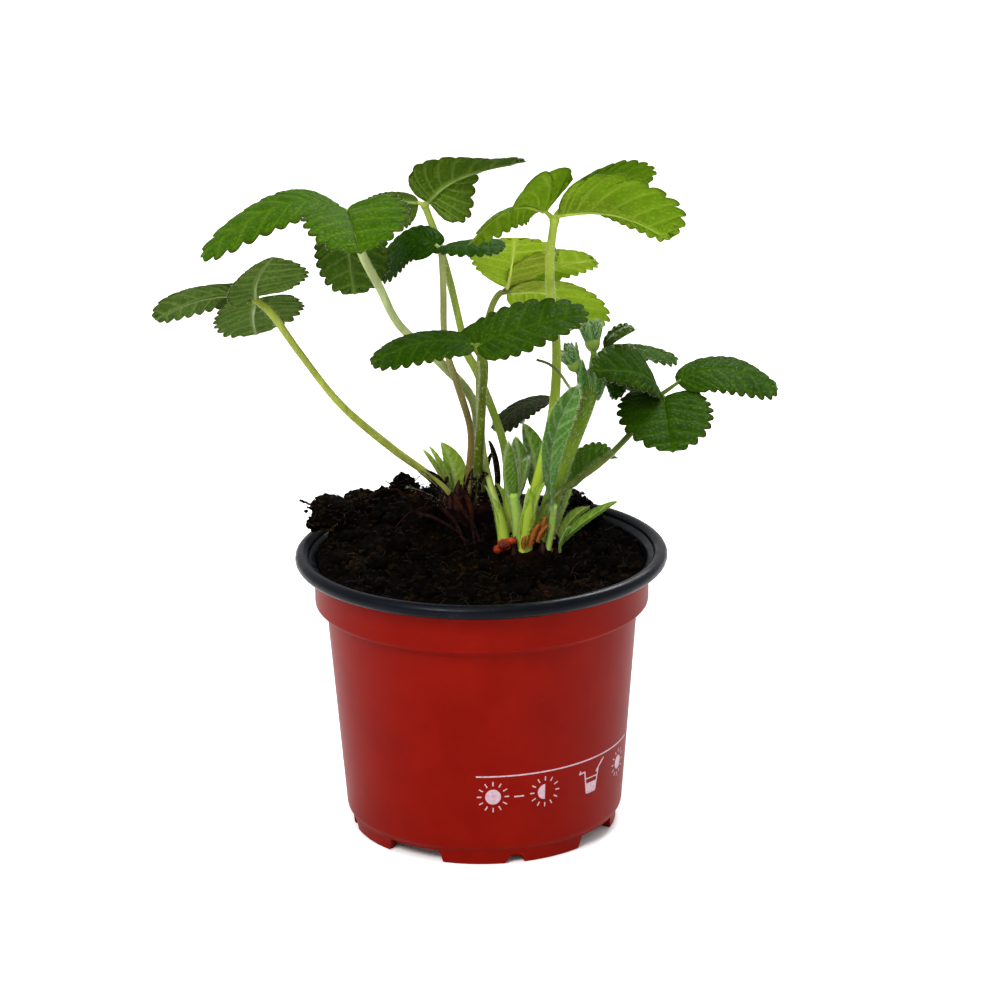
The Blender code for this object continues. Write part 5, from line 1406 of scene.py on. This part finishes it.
def crown_scales(sheet, rng):
    """Old brown scales that stand around the crowns."""
    for i in range(SCALES):
        way = around(rng.uniform(0, TURN))
        (x, y), radius, top, _ = CROWN_RIGHT if i < RIGHT_SCALES else CROWN_LEFT
        start = np.array([x, y, top - 5.5]) + way * radius * 0.85
        tall = rng.uniform(4.0, 7.0) if i < RIGHT_SCALES else rng.uniform(6.0, 12.0)
        middle, tip = start + UP * tall * 0.55 + way * 0.8, start + UP * tall - way * rng.uniform(0, 3)
        spec = pointed(start, middle, tip, -way, rng.uniform(1.2, 2.2), fold=30, widest=0.35)
        add_leaflet(sheet, spec, i * 1.7, SHEATH_TEETH, quilt=0.2, wave=0.9)


def make_sheaths(rng):
    """What wraps the stalks above each crown: pale feet and sheaths, brown scales and dry rags."""
    sheets = {kind: Shape() for kind, _, _ in SHEATH_LOOKS}
    feet, down = Shape(), Shape()
    for row in WRAPPED:
        wrap_stalk(sheets, feet, down, rng, *row)
    crown_scales(sheets["brown"], rng)
    for base, tip, half in RAGS:
        middle = (np.array(base) + np.array(tip)) / 2 + np.array([-0.5, -0.6, 0.6])
        spec = pointed(base, middle, tip, (0.1, 0.9, 0.3), half * 0.8, fold=30, widest=0.4, blunt=1.2)
        add_leaflet(sheets["dry"], spec, half, SHEATH_TEETH, True, wave=2.4)
    for kind, look, slot_name in SHEATH_LOOKS:
        blade_piece(sheets[kind], kind + "_sheaths", kind + " sheath", (look, look), slot_name)
    feet.piece("stalk_feet", [stalk_surface("stalk foot", *STALK_FOOT_LOOK)], "stipules_left")
    down.piece("sheath_hairs", [HAIR], "stipules_left")


def make_red_bud():
    """The red scales of a resting bud on the right crown."""
    knob = Shape()
    for centre, radii, seed in RED_BUD:
        lump(knob, centre, np.array(radii) * 0.85, 4, 0.2, seed)
    mat = new_material("red bud scale", 0.45, 0.15)
    paint(mat, mottle(mat, 300.0, *RED_BUD_STOPS, detail=5.0, roughness=0.7))
    bump(mat, noise_tint(mat, 900.0), 0.5, 0.0005)
    knob.piece("red_bud", [mat], "crown_right")


# ================================================================ camera, light, floor
CAMERA_PLACE = (0.0, -1.20774, 0.49196)
CAMERA_AHEAD = Vector((0.0048923, 0.9530333, -0.3028260))
CAMERA_RIGHT = Vector((0.9999056, -0.0085517, -0.0107593))
SENSOR = 36.0
FOCAL_IN_WIDTHS = 3.94933
CLIP_START = 0.05
FLOOR_HALF = 6.0              # metres, as are the lights' places below
# area lights: place, target, size and power in watts
AREA_LIGHTS = {
    "key": ((-0.45, -0.9, 0.95), (0.0, 0.0, 0.12), 0.45, 14.0),
    "back": ((0.35, 0.75, 0.95), (0.0, 0.0, 0.15), 0.5, 14.0),
}
SKY_STRENGTH = 0.85
DAYLIGHT_STRENGTH = 0.9
DAYLIGHT_ANGLE = 50.0
DAYLIGHT_TILT = (18.0, -12.0, 0.0)


def make_camera():
    data = bpy.data.cameras.new("camera")
    data.sensor_width = SENSOR
    data.lens = SENSOR * FOCAL_IN_WIDTHS
    data.clip_start = CLIP_START
    camera = add_object("camera", data)
    up = CAMERA_RIGHT.cross(CAMERA_AHEAD)
    turn = Matrix((CAMERA_RIGHT, up, -CAMERA_AHEAD)).transposed().to_4x4()
    camera.matrix_world = Matrix.Translation(CAMERA_PLACE) @ turn
    bpy.context.scene.camera = camera


def make_lights():
    world = bpy.data.worlds.new("studio")
    bpy.context.scene.world = world
    world.use_nodes = True
    sky = world.node_tree.nodes["Background"].inputs
    sky["Color"].default_value = (1.0, 1.0, 1.0, 1.0)
    sky["Strength"].default_value = SKY_STRENGTH
    for name, (spot, target, size, power) in AREA_LIGHTS.items():
        data = bpy.data.lights.new(name, "AREA")
        data.size = size
        data.energy = power
        light = add_object(name, data)
        light.location = spot
        light.rotation_euler = (Vector(target) - Vector(spot)).to_track_quat("-Z", "Y").to_euler()
    daylight = bpy.data.lights.new("daylight", "SUN")
    daylight.energy = DAYLIGHT_STRENGTH
    daylight.angle = math.radians(DAYLIGHT_ANGLE)
    add_object("daylight", daylight).rotation_euler = [math.radians(angle) for angle in DAYLIGHT_TILT]


def make_studio():
    mesh = bpy.data.meshes.new("floor")
    half = FLOOR_HALF
    mesh.from_pydata([(-half, -half, 0), (half, -half, 0), (half, half, 0), (-half, half, 0)], [],
                     [(0, 1, 2, 3)])
    floor = add_object("floor", mesh)
    floor.data.materials.append(mottled_surface("floor", 0.9, 0.1, 0.6, (0.3, 0.93), (0.7, 0.96)))
    make_lights()
    bpy.context.scene.view_settings.view_transform = "Standard"


# ================================================================ the whole plant
def main():
    rng = np.random.default_rng(SEED)
    make_pot()
    make_signs()
    make_peat(rng)
    make_crumbs(rng)
    make_fibres(rng)
    make_roots(rng)
    make_crown("crown_right", CROWN_RIGHT)
    make_crown("crown_left", CROWN_LEFT)
    make_sheaths(rng)
    make_red_bud()
    for name, leaf in LEAVES.items():
        make_leaf(name, leaf, rng)
    make_shoot(rng)
    for name, leaf in YOUNG_LEAVES.items():
        make_young(name, leaf, rng)
    for name, (foot, tip, size) in BUDS.items():
        make_bud(name, foot, tip, size, rng)
    for name, blades in BRACTS.items():
        make_bract(name, blades, rng)
    make_runner()
    make_camera()
    make_studio()


main()
